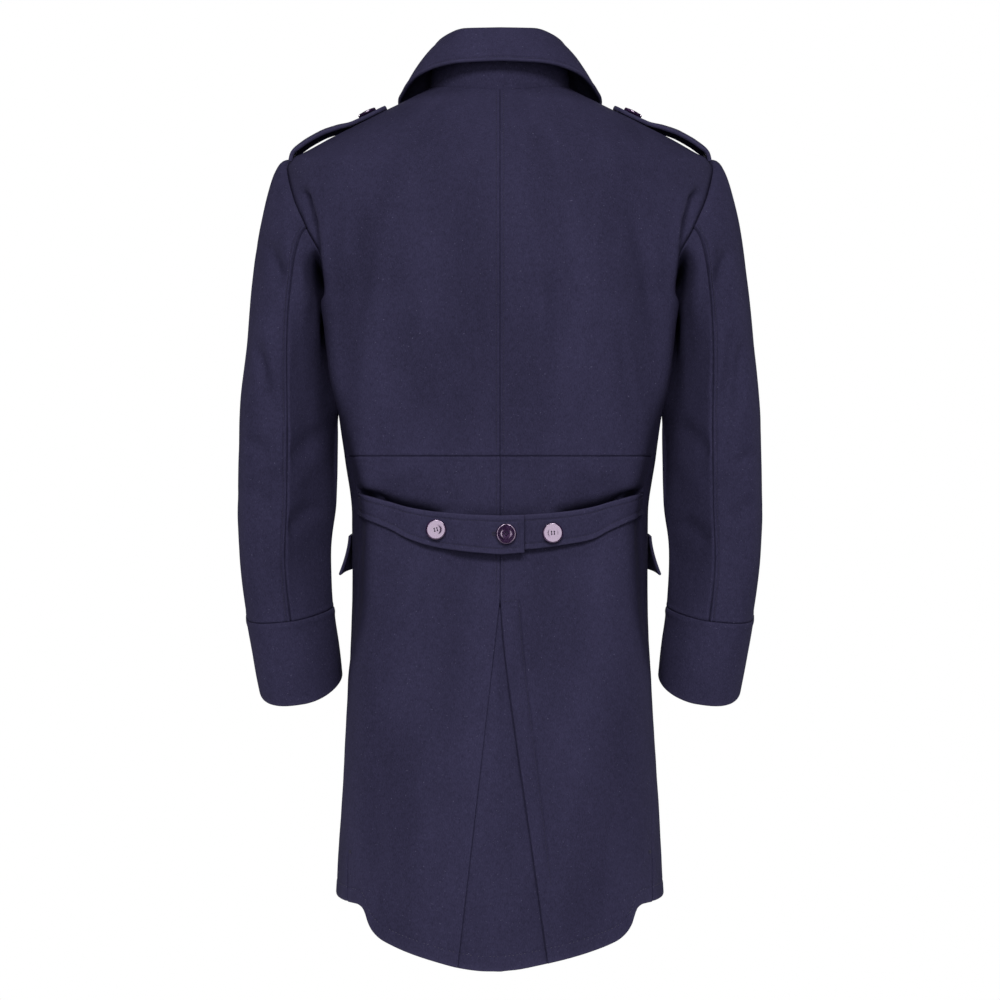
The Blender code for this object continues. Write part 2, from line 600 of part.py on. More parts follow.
# Collar: stand and fall round the neck, stations shared with the neck seam.
half = upper_back_angles(NECK) + [a for a in front_angles(NECK) if a < 176.0] + [176.0]
half = [a for i, a in enumerate(half) if i == 0 or a - half[i - 1] > 0.5]
NECK_ROUND = [-a for a in reversed(half)] + half[1:] if half[0] < 0.01 else [-a for a in reversed(half)] + half
STAND_ROWS = (0.0, 0.35, 0.7, 0.96)
FALL_ROWS = (1.0, 1.33, 1.67, 2.0, 2.35, 2.7, 3.0)
for name, rows, thick in (("collar_stand", STAND_ROWS, WALL), ("collar_fall", FALL_ROWS, FALL_WALL)):
    points = [[collar(a, w) for a in NECK_ROUND] for w in rows]
    normals = [[collar_normal(a, w) for a in NECK_ROUND] for w in rows]
    wall(name, points, normals, thick / 2, thick / 2, WOOL_LIGHT)

# Half belt.
# stations lie closer together towards the side, where the belt turns the corner
BELT_SPAN = [1 - (1 - i / 18) ** 1.8 for i in range(19)]
LEFT_BELT = [BELT_LEFT_END + (BELT_SIDE_END - BELT_LEFT_END) * u for u in BELT_SPAN]
RIGHT_BELT = [BELT_RIGHT_END - (BELT_SIDE_END + BELT_RIGHT_END) * u for u in reversed(BELT_SPAN)]


def left_rise(x):
    return BELT_LAP_RISE * smoothstep((62.0 - x) / 26.0)


BELT_PIECES = (("half_belt_left", LEFT_BELT, "low_left", left_rise),
               ("half_belt_right", RIGHT_BELT, "low_right", lambda x: 0.0))
for name, xs, low, rise in BELT_PIECES:
    downs = (0.0, 0.5, 1.0)

    def belt_at(x, d, low=low, rise=rise):
        return belt_point(x, d, rise(x), low)

    points = [[belt_at(x, d) for x in xs] for d in downs]
    normals = grid_normals(belt_at, xs, downs, flip=1.0, eu=0.5, ev=0.05)
    if normals[1][6][1] < 0:
        normals = -normals
    wall(name, points, normals, 0.0, BELT_WALL, WOOL_LIGHT)

# Shoulder straps.
for side_name, side in SIDES:
    xs = [r[0] for r in STRAP]
    widths = (-1.0, -0.5, 0.0, 0.5, 1.0)
    points = [[strap_point(x, w) for w in widths] for x in xs]
    normals = []
    for x in xs:
        lo, hi = max(x - 2.0, min(xs)), min(x + 2.0, max(xs))
        along = strap_point(hi, 0.0) - strap_point(lo, 0.0)
        row = []
        for w in widths:
            y = w * STRAP_AT["half_width"](x)
            tilt = np.array((0.0, 1.0, -2 * STRAP_ARCH * y))
            row.append(unit(np.cross(along, tilt)))
        normals.append(row)
    wall("shoulder_strap_" + side_name, mirrored(points, side), mirrored(normals, side),
         0.0, STRAP_WALL)

# Pocket flaps.
for side_name, side in SIDES:
    angles = [r[0] for r in FLAP]
    downs = (0.0, 0.35, 0.7, 1.0)
    points = [[flap_point(a, d) for a in angles] for d in downs]
    normals = grid_normals(flap_point, angles, downs, flip=1.0, eu=0.3, ev=0.05)
    if normals[1][2][0] < 0:
        normals = -normals
    wall("pocket_flap_" + side_name, mirrored(points, side), mirrored(normals, side),
         0.0, FLAP_WALL)

# Buttons: a turned disc with a raised rim and four holes, one mesh for all.
BUTTON_PROFILE = ((0.0, 0.62), (0.58, 0.62), (0.72, 1.0), (0.88, 1.0), (1.0, 0.55), (0.86, 0.0), (0.0, 0.0))


def make_button_mesh():
    mesh = bpy.data.meshes.new("button_profile")
    pts = [(r * BUTTON_D / 2 * MM, 0.0, h * BUTTON_H * MM) for r, h in BUTTON_PROFILE]
    mesh.from_pydata(pts, [(i, i + 1) for i in range(len(pts) - 1)], [])
    disc = bpy.data.objects.new("button_profile", mesh)
    CUTTERS.objects.link(disc)
    disc.hide_render = True
    disc.display_type = "WIRE"
    turn = disc.modifiers.new("turn", "SCREW")
    turn.axis, turn.steps, turn.render_steps = "Z", 12, 12
    turn.use_merge_vertices, turn.merge_threshold = True, 0.00001
    for i in range(4):
        bpy.ops.mesh.primitive_cylinder_add(vertices=6, radius=1.1 * MM, depth=12 * MM)
        hole = bpy.context.object
        hole.name = "button_hole_%d" % i
        a = math.radians(45 + 90 * i)
        hole.location = (2.7 * MM * math.cos(a), 2.7 * MM * math.sin(a), 0.0)
        for c in list(hole.users_collection):
            c.objects.unlink(hole)
        CUTTERS.objects.link(hole)
        hole.hide_render = True
        hole.display_type = "WIRE"
        cut = disc.modifiers.new("hole_%d" % i, "BOOLEAN")
        cut.operation, cut.object = "DIFFERENCE", hole
    bpy.context.view_layer.update()
    graph = bpy.context.evaluated_depsgraph_get()
    whole = bpy.data.meshes.new_from_object(disc.evaluated_get(graph))
    whole.name = "button"
    whole.materials.clear()
    whole.materials.append(material("button", PLUM, 0.22))
    return whole


BUTTON_MESH = make_button_mesh()


def place_button(name, point, normal):
    """Button whose back lies just off the cloth at the point."""
    obj = bpy.data.objects.new(name, BUTTON_MESH)
    z = Vector(normal).normalized()
    y = Vector((0.0, 0.0, 1.0))
    y = (y - y.dot(z) * z).normalized() if abs(z.z) < 0.9 else (Vector((0, 1, 0)) - z.y * z).normalized()
    x = y.cross(z)
    turn = Matrix((x, y, z)).transposed()
    obj.matrix_world = Matrix.Translation((Vector(point) + z * 0.60) * MM) @ turn.to_4x4()
    COAT.objects.link(obj)
    return obj


for name, x, z in BELT_BUTTONS:
    low, rise = ("low_right", 0.0) if x < BELT_LEFT_END else ("low_left", left_rise(x))
    top_z, low_z = BELT_AT["top"](abs(x)), BELT_AT[low](abs(x))
    d = (z - top_z) / (low_z - top_z)
    p = belt_point(x, d, rise, low)
    n = np.cross(belt_point(x + 8, d, rise, low) - belt_point(x - 8, d, rise, low),
                 belt_point(x, min(d + 0.2, 1), rise, low) - belt_point(x, max(d - 0.2, 0), rise, low))
    place_button(name, p, n if n[1] > 0 else -n)
for side_name, side in SIDES:
    p = strap_point(STRAP_BUTTON_X, 0.0)
    along = strap_point(STRAP_BUTTON_X + 6, 0.0) - strap_point(STRAP_BUTTON_X - 6, 0.0)
    n = np.cross(along, (0.0, 1.0, 0.0))
    n = n if n[2] > 0 else -n
    place_button("strap_button_" + side_name, (p[0] * side, p[1], p[2]), (n[0] * side, n[1], n[2]))
for i, z in enumerate(FRONT_BUTTON_HEIGHTS):
    s = z
    for _ in range(20):
        s += (z - body(180.0, s)[2]) * 0.7
    n = body_frame(180.0, s)[2]
    place_button("front_button_%d" % (i + 1), body(180.0, s) + (LAP_RISE + 1.0) * n, n)
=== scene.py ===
"""Looks of a knee-length navy wool overcoat in its worn form.

Frame: metres, +Z up, the coat's front faces -Y and the wearer's left is +X; the
origin lies at the base of the neck.  Tables and surfaces work in millimetres.
Every cut piece is a thin closed shell on the same surface as its solid, with
rounded edges, seams, creases, topstitching and buttonholes.
"""
import math

import bpy
import bmesh
import numpy as np
from mathutils import Matrix, Vector


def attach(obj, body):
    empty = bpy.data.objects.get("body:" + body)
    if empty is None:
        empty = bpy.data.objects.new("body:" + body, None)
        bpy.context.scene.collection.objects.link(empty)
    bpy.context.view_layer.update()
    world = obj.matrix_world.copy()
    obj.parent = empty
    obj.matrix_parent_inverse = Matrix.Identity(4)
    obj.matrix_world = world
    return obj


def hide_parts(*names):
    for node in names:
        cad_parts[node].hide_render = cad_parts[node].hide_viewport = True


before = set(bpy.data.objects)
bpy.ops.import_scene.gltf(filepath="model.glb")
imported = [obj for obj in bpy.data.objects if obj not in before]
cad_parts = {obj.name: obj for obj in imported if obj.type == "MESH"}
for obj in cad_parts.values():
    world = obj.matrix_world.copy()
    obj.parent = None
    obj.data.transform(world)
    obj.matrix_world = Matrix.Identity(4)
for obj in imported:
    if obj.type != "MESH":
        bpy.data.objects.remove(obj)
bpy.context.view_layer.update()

MM = 0.001

# ---------------------------------------------------------------- sizes (mm)
WALL = 2.5              # melton wool, one layer
FALL_WALL = 4.0         # collar fall, two layers
STRAP_WALL = 5.0        # shoulder strap, two layers
BELT_WALL = 4.2         # half belt, two layers
FLAP_WALL = 3.6         # pocket flap, two layers
SEAM = -0.3             # sewn edges press this far into each other
HEM_TURN = 16.0         # height of the hem's turn-up, to its row of stitches

LOWEST = -960.0
NECK = 21.6             # side height of the neck seam
SHOULDER = -60.0        # side height of the shoulder point
ARMPIT = -252.0         # side height of the armhole's lowest point
WAIST_SEAM = -397.0     # height of the seam across the back
PLEAT_TOP = -556.0      # where the inverted pleat opens
FRONT_HEM = -888.0      # hem of the fronts, level all round
SLIT_TOP = -836.0       # top of the short slit in each side seam
LAP = 35.0              # how far each front passes the centre front
LAP_RISE = 3.4          # how far the left front stands over the right one
PLEAT_RECESS = 3.8      # how far the pleat underlay lies inside the skirt
PLEAT_TUCK = 16.0       # how far the underlay passes behind each fold
CUFF_PROUD = 1.2        # the cuff band stands this far out from the sleeve
BUTTON_D = 22.5
BUTTON_H = 3.6
COLLAR_ROLL = 3.6       # radius of the collar's fold

# Body sections.  Each is a rounded ring; side_z is its height at the sides,
# back_z and front_z at the centre back and front.  hole_* is how far the
# armhole's edge lies from the side, in degrees; pinch is how far the back is drawn
# in beside the side seams, as a part of the half width.
BODY_COLUMNS = ("level", "side_z", "back_z", "front_z", "half_width", "back_depth",
                "front_depth", "front_square", "back_square", "pinch", "hole_back", "hole_front")
BODY = (
    ("hem",      -960.0, -960.0, -960.0, 189.0, 166.0, 150.0, 2.20, 2.80, 0.000, 0.0, 0.0),
    ("knee",     -800.0, -800.0, -800.0, 179.2, 150.0, 140.0, 2.20, 3.60, 0.000, 0.0, 0.0),
    ("hip",      -650.0, -650.0, -650.0, 170.2, 134.0, 131.0, 2.20, 5.40, 0.004, 0.0, 0.0),
    ("seat",     -560.0, -560.0, -560.0, 168.0, 122.0, 124.0, 2.20, 7.50, 0.078, 0.0, 0.0),
    ("belt",     -465.0, -465.0, -465.0, 168.0, 112.5, 119.0, 2.25, 9.00, 0.100, 0.0, 0.0),
    ("waist",    -397.0, -397.0, -397.0, 177.0, 112.5, 120.0, 2.30, 8.50, 0.072, 0.0, 0.0),
    ("ribs",     -320.0, -320.0, -320.0, 187.0, 120.0, 124.0, 2.30, 7.00, 0.016, 0.0, 0.0),
    ("armpit",   -252.0, -252.0, -252.0, 193.0, 127.0, 127.0, 2.30, 4.80, 0.000, 0.0, 0.0),
    ("arm_1",    -215.0, -218.0, -218.0, 206.0, 129.0, 129.0, 2.25, 3.10, 0.000, 20.4, 15.0),
    ("arm_2",    -178.0, -185.0, -190.0, 222.0, 130.0, 129.0, 2.20, 2.75, 0.000, 21.8, 18.5),
    ("arm_3",    -140.0, -155.0, -165.0, 236.0, 129.0, 127.0, 2.10, 2.40, 0.000, 16.4, 15.5),
    ("arm_4",    -103.0, -128.0, -145.0, 241.0, 126.5, 125.0, 2.05, 2.15, 0.000,  9.0,  9.0),
    ("arm_5",     -76.0, -108.0, -132.0, 242.0, 123.0, 123.0, 2.00, 2.00, 0.000,  3.3,  3.6),
    ("shoulder",  -60.0,  -95.0, -125.0, 237.0, 120.5, 122.0, 2.00, 2.00, 0.000, 0.0, 0.0),
    ("ridge_0",   -55.0,  -88.5, -120.0, 226.5, 118.5, 120.7, 2.00, 2.00, 0.000, 0.0, 0.0),
    ("ridge_1",   -38.0,  -66.0, -104.0, 195.0, 111.0, 116.0, 2.00, 2.00, 0.000, 0.0, 0.0),
    ("ridge_2",   -15.0,  -36.0,  -82.0, 150.0,  98.0, 106.0, 2.00, 2.00, 0.000, 0.0, 0.0),
    ("ridge_3",     6.0,   -8.0,  -62.0, 108.0,  80.0,  94.0, 2.00, 2.00, 0.000, 0.0, 0.0),
    ("neck",       21.6,   14.0,  -48.0,  77.0,  62.0,  82.0, 2.00, 2.00, 0.000, 0.0, 0.0),
)

# Side seam: how far round from the centre back it lies, in degrees.
SIDE_SEAM_COLUMNS = ("height", "angle")
SIDE_SEAM = ((-960.0, 58.0), (-888.0, 58.2), (-836.0, 59.0), (-740.0, 63.0), (-650.0, 67.5), (-560.0, 72.5),
             (-490.0, 74.0), (-460.0, 74.0), (-397.0, 75.0), (-320.0, 82.0), (-252.0, 90.0))

# Hem of the skirt back: height at a distance from the centre back.
BACK_HEM_COLUMNS = ("across", "left", "right")
BACK_HEM = ((0.0, -957.0, -957.0), (46.0, -950.8, -947.5), (70.0, -945.0, -942.5),
            (99.0, -936.5, -935.0), (122.0, -927.8, -927.5), (130.0, -924.0, -924.0),
            (138.5, -917.4, -917.4), (144.5, -908.5, -908.5), (148.0, -898.0, -898.0),
            (151.0, -892.0, -892.0), (158.0, -888.5, -888.5), (190.0, -888.0, -888.0))

# Pleat folds: distance of each fold from the centre back at a height.
PLEAT_FOLD_COLUMNS = ("height", "left", "right")
PLEAT_FOLD = ((-556.0, 0.15, 0.15), (-590.0, 4.2, 2.8), (-706.0, 17.5, 17.4),
              (-792.0, 27.5, 30.0), (-955.0, 46.5, 53.0))

# Where the armhole's points go round the sleeve (degrees from its outer side).
ARMHOLE_COLUMNS = ("around", "side_z")
ARMHOLE = ((0.0, -60.0), (20.0, -76.0), (50.0, -103.0), (90.0, -140.0),
           (122.0, -178.0), (150.0, -215.0), (180.0, -252.0))

# Sleeve sections, tipped forward and sideways by degrees: rounded, square at the
# outer back and flat from the back seam to the inner side.
SLEEVE_COLUMNS = ("level", "x", "y", "z", "half_width", "half_depth", "tip_forward", "tip_side",
                  "outer_square", "inner_square")
SLEEVE = (
    ("bicep",       239.2,   0.0, -290.0, 51.6, 74.0,  3.0, 20.0, 3.2, 1.20),
    ("upper_elbow", 240.2,   0.0, -367.0, 56.0, 69.0,  4.0,  6.0, 4.0, 1.10),
    ("elbow",       242.0,  -1.0, -447.0, 55.9, 65.0,  6.0,  0.0, 4.4, 1.10),
    ("fore_arm",    244.2,  -2.0, -503.5, 51.9, 61.0,  8.0, -2.0, 4.4, 1.12),
    ("cuff_seam",   238.9,  -5.0, -573.6, 49.3, 57.0,  9.5, -4.0, 3.8, 1.40),
    ("wrist",       232.8,  -9.0, -615.8, 48.3, 54.5, 18.0, -6.0, 3.3, 1.70),
    ("sleeve_end",  227.6, -14.0, -653.4, 46.7, 52.5, 27.0, -6.0, 2.9, 1.80),
)
FRONT_SLEEVE_SEAM = -112.5   # degrees round from the sleeve's outer side
BACK_SLEEVE_SEAM = 90.0
CROWN_RISE = 5.2             # roundness of the sleeve head over the shoulder
SLEEVE_TURN = 5.0            # the lower sleeve is turned a little on the armhole

# Collar sections round the neck (degrees from the centre back): the fold's
# crest and the fall's edge on the wearer's left; the right is its mirror.
COLLAR_COLUMNS = ("angle", "fold_x", "fold_y", "fold_z", "edge_x", "edge_y", "edge_z")
COLLAR = (
    (0.0,    0.0,  57.0,  80.6,   0.0,   80.0,  42.2),
    (30.0,  37.5,  50.0,  80.8,  47.0,   75.0,  40.4),
    (60.0,  62.5,  31.0,  73.5,  90.0,   50.0,  30.2),
    (85.0,  75.0,   6.0,  57.5, 108.5,   16.0,  15.4),
    (110.0, 75.0, -26.0,  41.0, 116.0,  -34.0,   5.0),
    (125.0, 66.0, -48.0,  28.0, 108.0,  -76.0, -22.0),
    (140.0, 52.0, -66.0,  12.0,  88.0, -110.0, -58.0),
    (160.0, 27.0, -82.0,  -7.0,  62.0, -126.0, -84.0),
    (176.0,  6.0, -87.5, -14.0,  42.0, -131.0, -93.0),
)
COLLAR_END = 176.0

# Half belt: edges and stand-off from the coat at a distance from the centre.
# "top" and "low" are heights; the left piece passes over the right one.
BELT_COLUMNS = ("across", "top", "low_left", "low_right", "stand_off")
BELT = (
    (0.0,   -461.8, -506.5, -501.8, 11.0),
    (35.0,  -460.5, -503.5, -500.0, 11.0),
    (72.0,  -457.5, -497.5, -495.0, 9.5),
    (100.0, -453.0, -489.0, -489.5, 6.5),
    (125.0, -446.0, -476.0, -477.0, 3.8),
    (145.0, -440.0, -467.5, -467.5, 2.2),
    (158.0, -436.2, -462.5, -462.5, 1.9),
)
BELT_LEFT_END = -27.0    # x of the free end of the left piece
BELT_RIGHT_END = 30.0    # x of the hidden end of the right piece
BELT_SIDE_END = 157.0    # where both pieces meet the side seams
BELT_LAP_RISE = BELT_WALL + 0.8

# Shoulder strap: top face above the shoulder ridge, and half its width.
STRAP_COLUMNS = ("x", "above_ridge", "half_width")
STRAP = (
    (239.2, -1.2, 25.0),
    (237.8,  4.6, 25.0),
    (236.2,  8.0, 25.0),
    (232.6, 10.8, 25.0),
    (226.0, 12.8, 24.8),
    (218.0, 14.2, 24.5),
    (204.0, 14.8, 24.0),
    (186.0, 12.2, 23.4),
    (167.0,  7.0, 22.8),
    (148.0,  6.2, 22.2),
    (138.0,  6.2, 19.0),
    (130.0,  6.2, 9.0),
)
STRAP_ARCH = 0.0040      # drop across the strap, per mm squared

# Pocket flap on each front: stations run forward from the side.
FLAP_COLUMNS = ("angle", "top", "low", "flare")
FLAP = (
    (93.0,  -488.0, -532.0, 11.5),
    (98.0,  -486.0, -529.0, 9.0),
    (106.0, -482.5, -526.0, 6.5),
    (116.0, -478.5, -522.0, 4.5),
    (127.0, -474.0, -517.5, 4.0),
    (137.0, -470.0, -513.5, 4.0),
)

# Buttons: x and height on the belt; heights down the centre front.
BELT_BUTTONS = (("belt_button_left", 69.8, -478.0), ("belt_button_middle", -6.8, -483.0),
                ("belt_button_right", -57.6, -481.8))
FRONT_BUTTON_HEIGHTS = (-105.0, -200.0, -295.0, -390.0, -485.0)
STRAP_BUTTON_X = 150.0

# --------------------------------------------------------- creases
# A crease runs from (x0, z0) to (x1, z1) on one side of the coat, bowed sideways
# at its middle, with a soft round section.  Height is out of the cloth: a ridge
# is positive and a trough negative.
CREASED = 1.8           # strength of all the small creases
CREASE_COLUMNS = ("x0", "z0", "x1", "z1", "bow", "half_width", "height")
BACK_CREASES = (
    # between the shoulder blades and over the waist: long soft vertical folds
    (-41.0, -140.0,  -42.0, -358.0,  2.0, 10.0,  1.9),
    (-66.0, -196.0,  -69.0, -282.0, -2.0,  9.0, -1.9),
    (-90.0, -200.0, -107.0, -252.0,  0.0, 11.0,  1.5),
    (-142.0, -108.0, -171.0, -266.0,  4.0, 10.0, -2.3),
    (-111.0, -96.0, -115.0, -160.0,  0.0, 13.0,  1.2),
    (-133.0, -218.0, -154.0, -360.0, -3.0, 12.0,  2.5),
    (-122.0, -250.0, -132.0, -352.0,  0.0,  9.0, -1.2),
    (132.0, -138.0,  155.0, -360.0,  4.0, 13.0,  2.5),
    (152.0, -126.0,  164.0, -172.0,  0.0,  9.0, -1.3),
    (108.0, -190.0,  114.0, -330.0,  0.0, 12.0, -1.1),
    (51.0, -270.0,   53.0, -345.0,  0.0, 10.0, -1.1),
    (26.0, -218.0,   25.0, -284.0,  0.0,  8.0, -1.0),
    (78.0, -230.0,   80.0, -350.0,  0.0, 13.0,  0.9),
    (-12.0, -270.0, -13.0, -370.0,  0.0,  8.0, -0.9),
    (12.0, -300.0,   12.0, -372.0,  0.0,  9.0, -0.7),
    (84.0, -404.0,  128.0, -424.0,  0.0, 10.0,  1.4),
    (-80.0, -404.0, -126.0, -422.0,  0.0, 11.0,  1.2),
    # hanging from under the belt
    (80.0, -516.0,  131.0, -592.0,  4.0, 10.0,  2.4),
    (98.0, -506.0,  136.0, -546.0,  0.0,  9.0, -1.9),
    (-11.0, -530.0, -95.0, -690.0, -6.0, 14.0,  1.6),
    (-54.0, -600.0, -62.0, -652.0,  0.0, 12.0, -1.1),
    (-104.0, -528.0, -124.0, -640.0,  4.0, 14.0,  1.3),
    (46.0, -640.0,   52.0, -790.0,  0.0, 12.0, -1.3),
    (92.0, -640.0,   98.0, -860.0,  5.0, 22.0,  1.7),
    (-92.0, -720.0, -102.0, -880.0, -5.0, 24.0,  1.5),
    (132.0, -690.0, 140.0, -860.0,  0.0, 18.0, -1.6),
    (-131.0, -700.0, -139.0, -870.0,  0.0, 18.0, -1.6),
)
# The coat drawn in behind the half belt's top edge, and bloused above it.
BELT_CREASES = (
    (64.0, -465.5,  156.0, -441.5,  3.5, 8.2, -26.0),
    (-64.0, -465.5, -156.0, -441.5, -3.5, 8.2, -25.0),
    (-44.0, -470.0,  46.0, -470.0,  0.0,  9.0, -7.0),
    (78.0, -454.0,  142.0, -434.0,  0.0, 24.0, -6.5),
    (-78.0, -454.0, -142.0, -435.0,  0.0, 24.0, -5.0),
)
# The back's deep soft fold beside each armhole, in x of the wearer's left.
ARMHOLE_CREASES = (
    (220.5, -100.0, 209.0, -138.0,  1.0, 4.6, -11.5),
    (210.0, -130.0, 201.5, -172.0,  0.0, 5.0, -12.5),
    (206.0, -104.0, 195.0, -172.0,  1.0, 6.5,  1.8),
    (200.0, -150.0, 177.0, -340.0,  0.0, 8.0,  6.0),
)
# How far the armhole's lower part is drawn in behind the fold, by height.
ARMHOLE_SINK_COLUMNS = ("height", "depth")
ARMHOLE_SINK = ((-118.0, 0.0), (-140.0, 4.0), (-165.0, 13.0), (-190.0, 24.0), (-225.0, 34.0), (-252.0, 36.0),
                (-300.0, 25.0), (-345.0, 8.0), (-385.0, 0.0))
ARMHOLE_SINK_WAY = (-0.02, -1.0, 0.0)
# The sleeve's inner back turns away to the body below the armhole, by height.
ARM_ROLL_FROM = 223.0
ARM_ROLL_COLUMNS = ("height", "share")
ARM_ROLL = ((-140.0, 0.0), (-165.0, 0.5), (-178.0, 2.0), (-190.0, 3.2), (-205.0, 2.4), (-223.0, 1.15), (-240.0, 0.85),
            (-262.0, 0.5), (-280.0, 0.25), (-300.0, 0.08), (-330.0, 0.0))
# The under sleeve's plane leans inwards towards the elbow, by height.
ARM_LEAN_FROM = 238.0
ARM_LEAN_COLUMNS = ("height", "slope")
ARM_LEAN = ((-290.0, 0.0), (-345.0, 0.10), (-390.0, 0.24), (-430.0, 0.20), (-480.0, 0.07), (-540.0, 0.0))
FRONT_CREASES = (
    (118.0, -150.0, 108.0, -300.0,  4.0, 13.0, -1.8),
    (140.0, -190.0, 136.0, -340.0,  0.0, 13.0,  2.0),
    (84.0, -215.0,  80.0, -380.0,  0.0, 14.0,  1.3),
    (-112.0, -160.0, -105.0, -310.0, -4.0, 13.0, -1.8),
    (-140.0, -205.0, -134.0, -352.0,  0.0, 12.0,  2.1),
    (-76.0, -250.0, -80.0, -400.0,  0.0, 15.0,  1.2),
    (60.0, -410.0, 130.0, -432.0,  2.0, 11.0, -1.8),
    (-64.0, -418.0, -128.0, -436.0, -2.0, 11.0, -1.7),
    (52.0, -540.0,  74.0, -760.0,  6.0, 20.0,  1.8),
    (104.0, -560.0, 122.0, -850.0,  4.0, 22.0, -2.2),
    (140.0, -620.0, 150.0, -860.0,  0.0, 18.0,  1.9),
    (-66.0, -560.0, -84.0, -800.0, -6.0, 21.0,  1.8),
    (-106.0, -600.0, -120.0, -860.0, -4.0, 20.0, -2.1),
    (-142.0, -640.0, -150.0, -870.0,  0.0, 18.0,  1.8),
)
# Sleeves, in x of the wearer's left; the second table is the right arm's.
LEFT_ARM_BACK = (
    (262.0, -158.0, 245.0, -206.0,  3.0,  9.0, -3.2),
    (241.0, -148.0, 232.0, -190.0,  0.0, 10.0,  1.6),
    (264.0, -246.0, 250.0, -316.0,  2.0,  8.0,  1.8),
    (271.0, -272.0, 257.0, -340.0,  2.0,  7.0, -2.6),
    (250.0, -358.0, 248.0, -418.0,  0.0, 14.0,  1.8),
    (197.0, -366.0, 232.0, -404.0, -4.0, 10.0, -1.4),
    (200.0, -392.0, 226.0, -432.0, -3.0, 10.0,  0.8),
    (284.0, -376.0, 258.0, -398.0,  2.0,  9.0, -1.8),
    (286.0, -430.0, 256.0, -458.0,  3.0, 11.0, -1.6),
    (206.0, -452.0, 236.0, -482.0, -3.0, 10.0, -1.7),
    (270.0, -478.0, 246.0, -520.0,  2.0, 13.0,  1.2),
)
RIGHT_ARM_BACK = (
    (257.0, -164.0, 243.0, -208.0,  2.0,  8.0, -2.6),
    (238.0, -152.0, 230.0, -196.0,  0.0, 10.0,  1.5),
    (272.0, -268.0, 264.0, -346.0,  2.0,  7.0, -2.8),
    (248.0, -244.0, 238.0, -334.0, -2.0,  9.0,  1.7),
    (259.0, -262.0, 252.0, -330.0,  0.0,  6.0, -1.4),
    (252.0, -354.0, 250.0, -424.0,  0.0, 15.0,  1.9),
    (200.0, -360.0, 234.0, -398.0, -3.0, 10.0, -1.3),
    (198.0, -394.0, 228.0, -446.0, -4.0, 11.0,  0.8),
    (285.0, -392.0, 262.0, -408.0,  1.0,  8.0, -1.7),
    (288.0, -448.0, 258.0, -470.0,  2.0, 10.0, -1.5),
    (204.0, -470.0, 232.0, -494.0, -2.0, 10.0, -1.5),
)
# The sleeve's inner side rests on the body down to the elbow.
ARM_INSIDE = ((192.0, -250.0, 187.5, -350.0, 0.0, 9.0, 4.6),)
ARM_FRONT = (
    (204.0, -300.0, 236.0, -352.0,  4.0, 10.0, -2.2),
    (200.0, -352.0, 262.0, -380.0,  6.0, 10.0, -4.0),
    (200.0, -382.0, 272.0, -402.0,  5.0,  9.0,  2.8),
    (204.0, -410.0, 268.0, -420.0,  4.0,  9.0, -3.6),
    (278.0, -336.0, 242.0, -398.0, -3.0, 10.0, -2.2),
    (282.0, -420.0, 236.0, -452.0,  3.0, 10.0,  2.0),
    (214.0, -462.0, 262.0, -480.0,  3.0, 10.0, -2.0),
    (264.0, -180.0, 244.0, -260.0,  3.0, 10.0,  1.6),
    (230.0, -190.0, 214.0, -262.0,  3.0,  9.0, -2.2),
)


# ------------------------------------------------------------------- helpers
def curve(stations, values):
    """Monotone smooth curve through a table's column (clamped at its ends)."""
    xs = np.array(stations, float)
    ys = np.array(values, float)
    if xs[0] > xs[-1]:
        xs, ys = xs[::-1], ys[::-1]
    h = np.diff(xs)
    d = np.diff(ys) / h
    m = np.zeros(len(xs))
    m[0], m[-1] = d[0], d[-1]
    for i in range(1, len(xs) - 1):
        if d[i - 1] * d[i] > 0:
            w1, w2 = 2 * h[i] + h[i - 1], h[i] + 2 * h[i - 1]
            m[i] = (w1 + w2) / (w1 / d[i - 1] + w2 / d[i])

    def at(x):
        x = np.clip(np.asarray(x, float), xs[0], xs[-1])
        i = np.clip(np.searchsorted(xs, x, side="right") - 1, 0, len(h) - 1)
        t = (x - xs[i]) / h[i]
        return ((1 + 2 * t) * (1 - t) ** 2 * ys[i] + t * (1 - t) ** 2 * h[i] * m[i]
                + t * t * (3 - 2 * t) * ys[i + 1] + t * t * (t - 1) * h[i] * m[i + 1])
    return at


def columns(table, names, key):
    """One smooth curve for each named column of a table, read at column key."""
    k = names.index(key)
    return {n: curve([r[k] for r in table], [r[i] for r in table])
            for i, n in enumerate(names) if i != k and not isinstance(table[0][i], str)}


def unit(v):
    return v / np.maximum(np.linalg.norm(v, axis=-1, keepdims=True), 1e-9)


def smoothstep(t):
    t = np.clip(t, 0.0, 1.0)
    return t * t * (3 - 2 * t)


BODY_AT = columns(BODY, BODY_COLUMNS, "side_z")
SIDE_SEAM_AT = columns(SIDE_SEAM, SIDE_SEAM_COLUMNS, "height")["angle"]
BACK_HEM_AT = columns(BACK_HEM, BACK_HEM_COLUMNS, "across")
PLEAT_AT = columns(PLEAT_FOLD, PLEAT_FOLD_COLUMNS, "height")
ARMHOLE_AT = columns(ARMHOLE, ARMHOLE_COLUMNS, "around")["side_z"]
COLLAR_AT = columns(COLLAR, COLLAR_COLUMNS, "angle")
BELT_AT = columns(BELT, BELT_COLUMNS, "across")
STRAP_AT = columns(STRAP, STRAP_COLUMNS, "x")
SINK_AT = columns(ARMHOLE_SINK, ARMHOLE_SINK_COLUMNS, "height")["depth"]
ROLL_AT = columns(ARM_ROLL, ARM_ROLL_COLUMNS, "height")["share"]
LEAN_AT = columns(ARM_LEAN, ARM_LEAN_COLUMNS, "height")["slope"]
FLAP_AT = columns(FLAP, FLAP_COLUMNS, "angle")
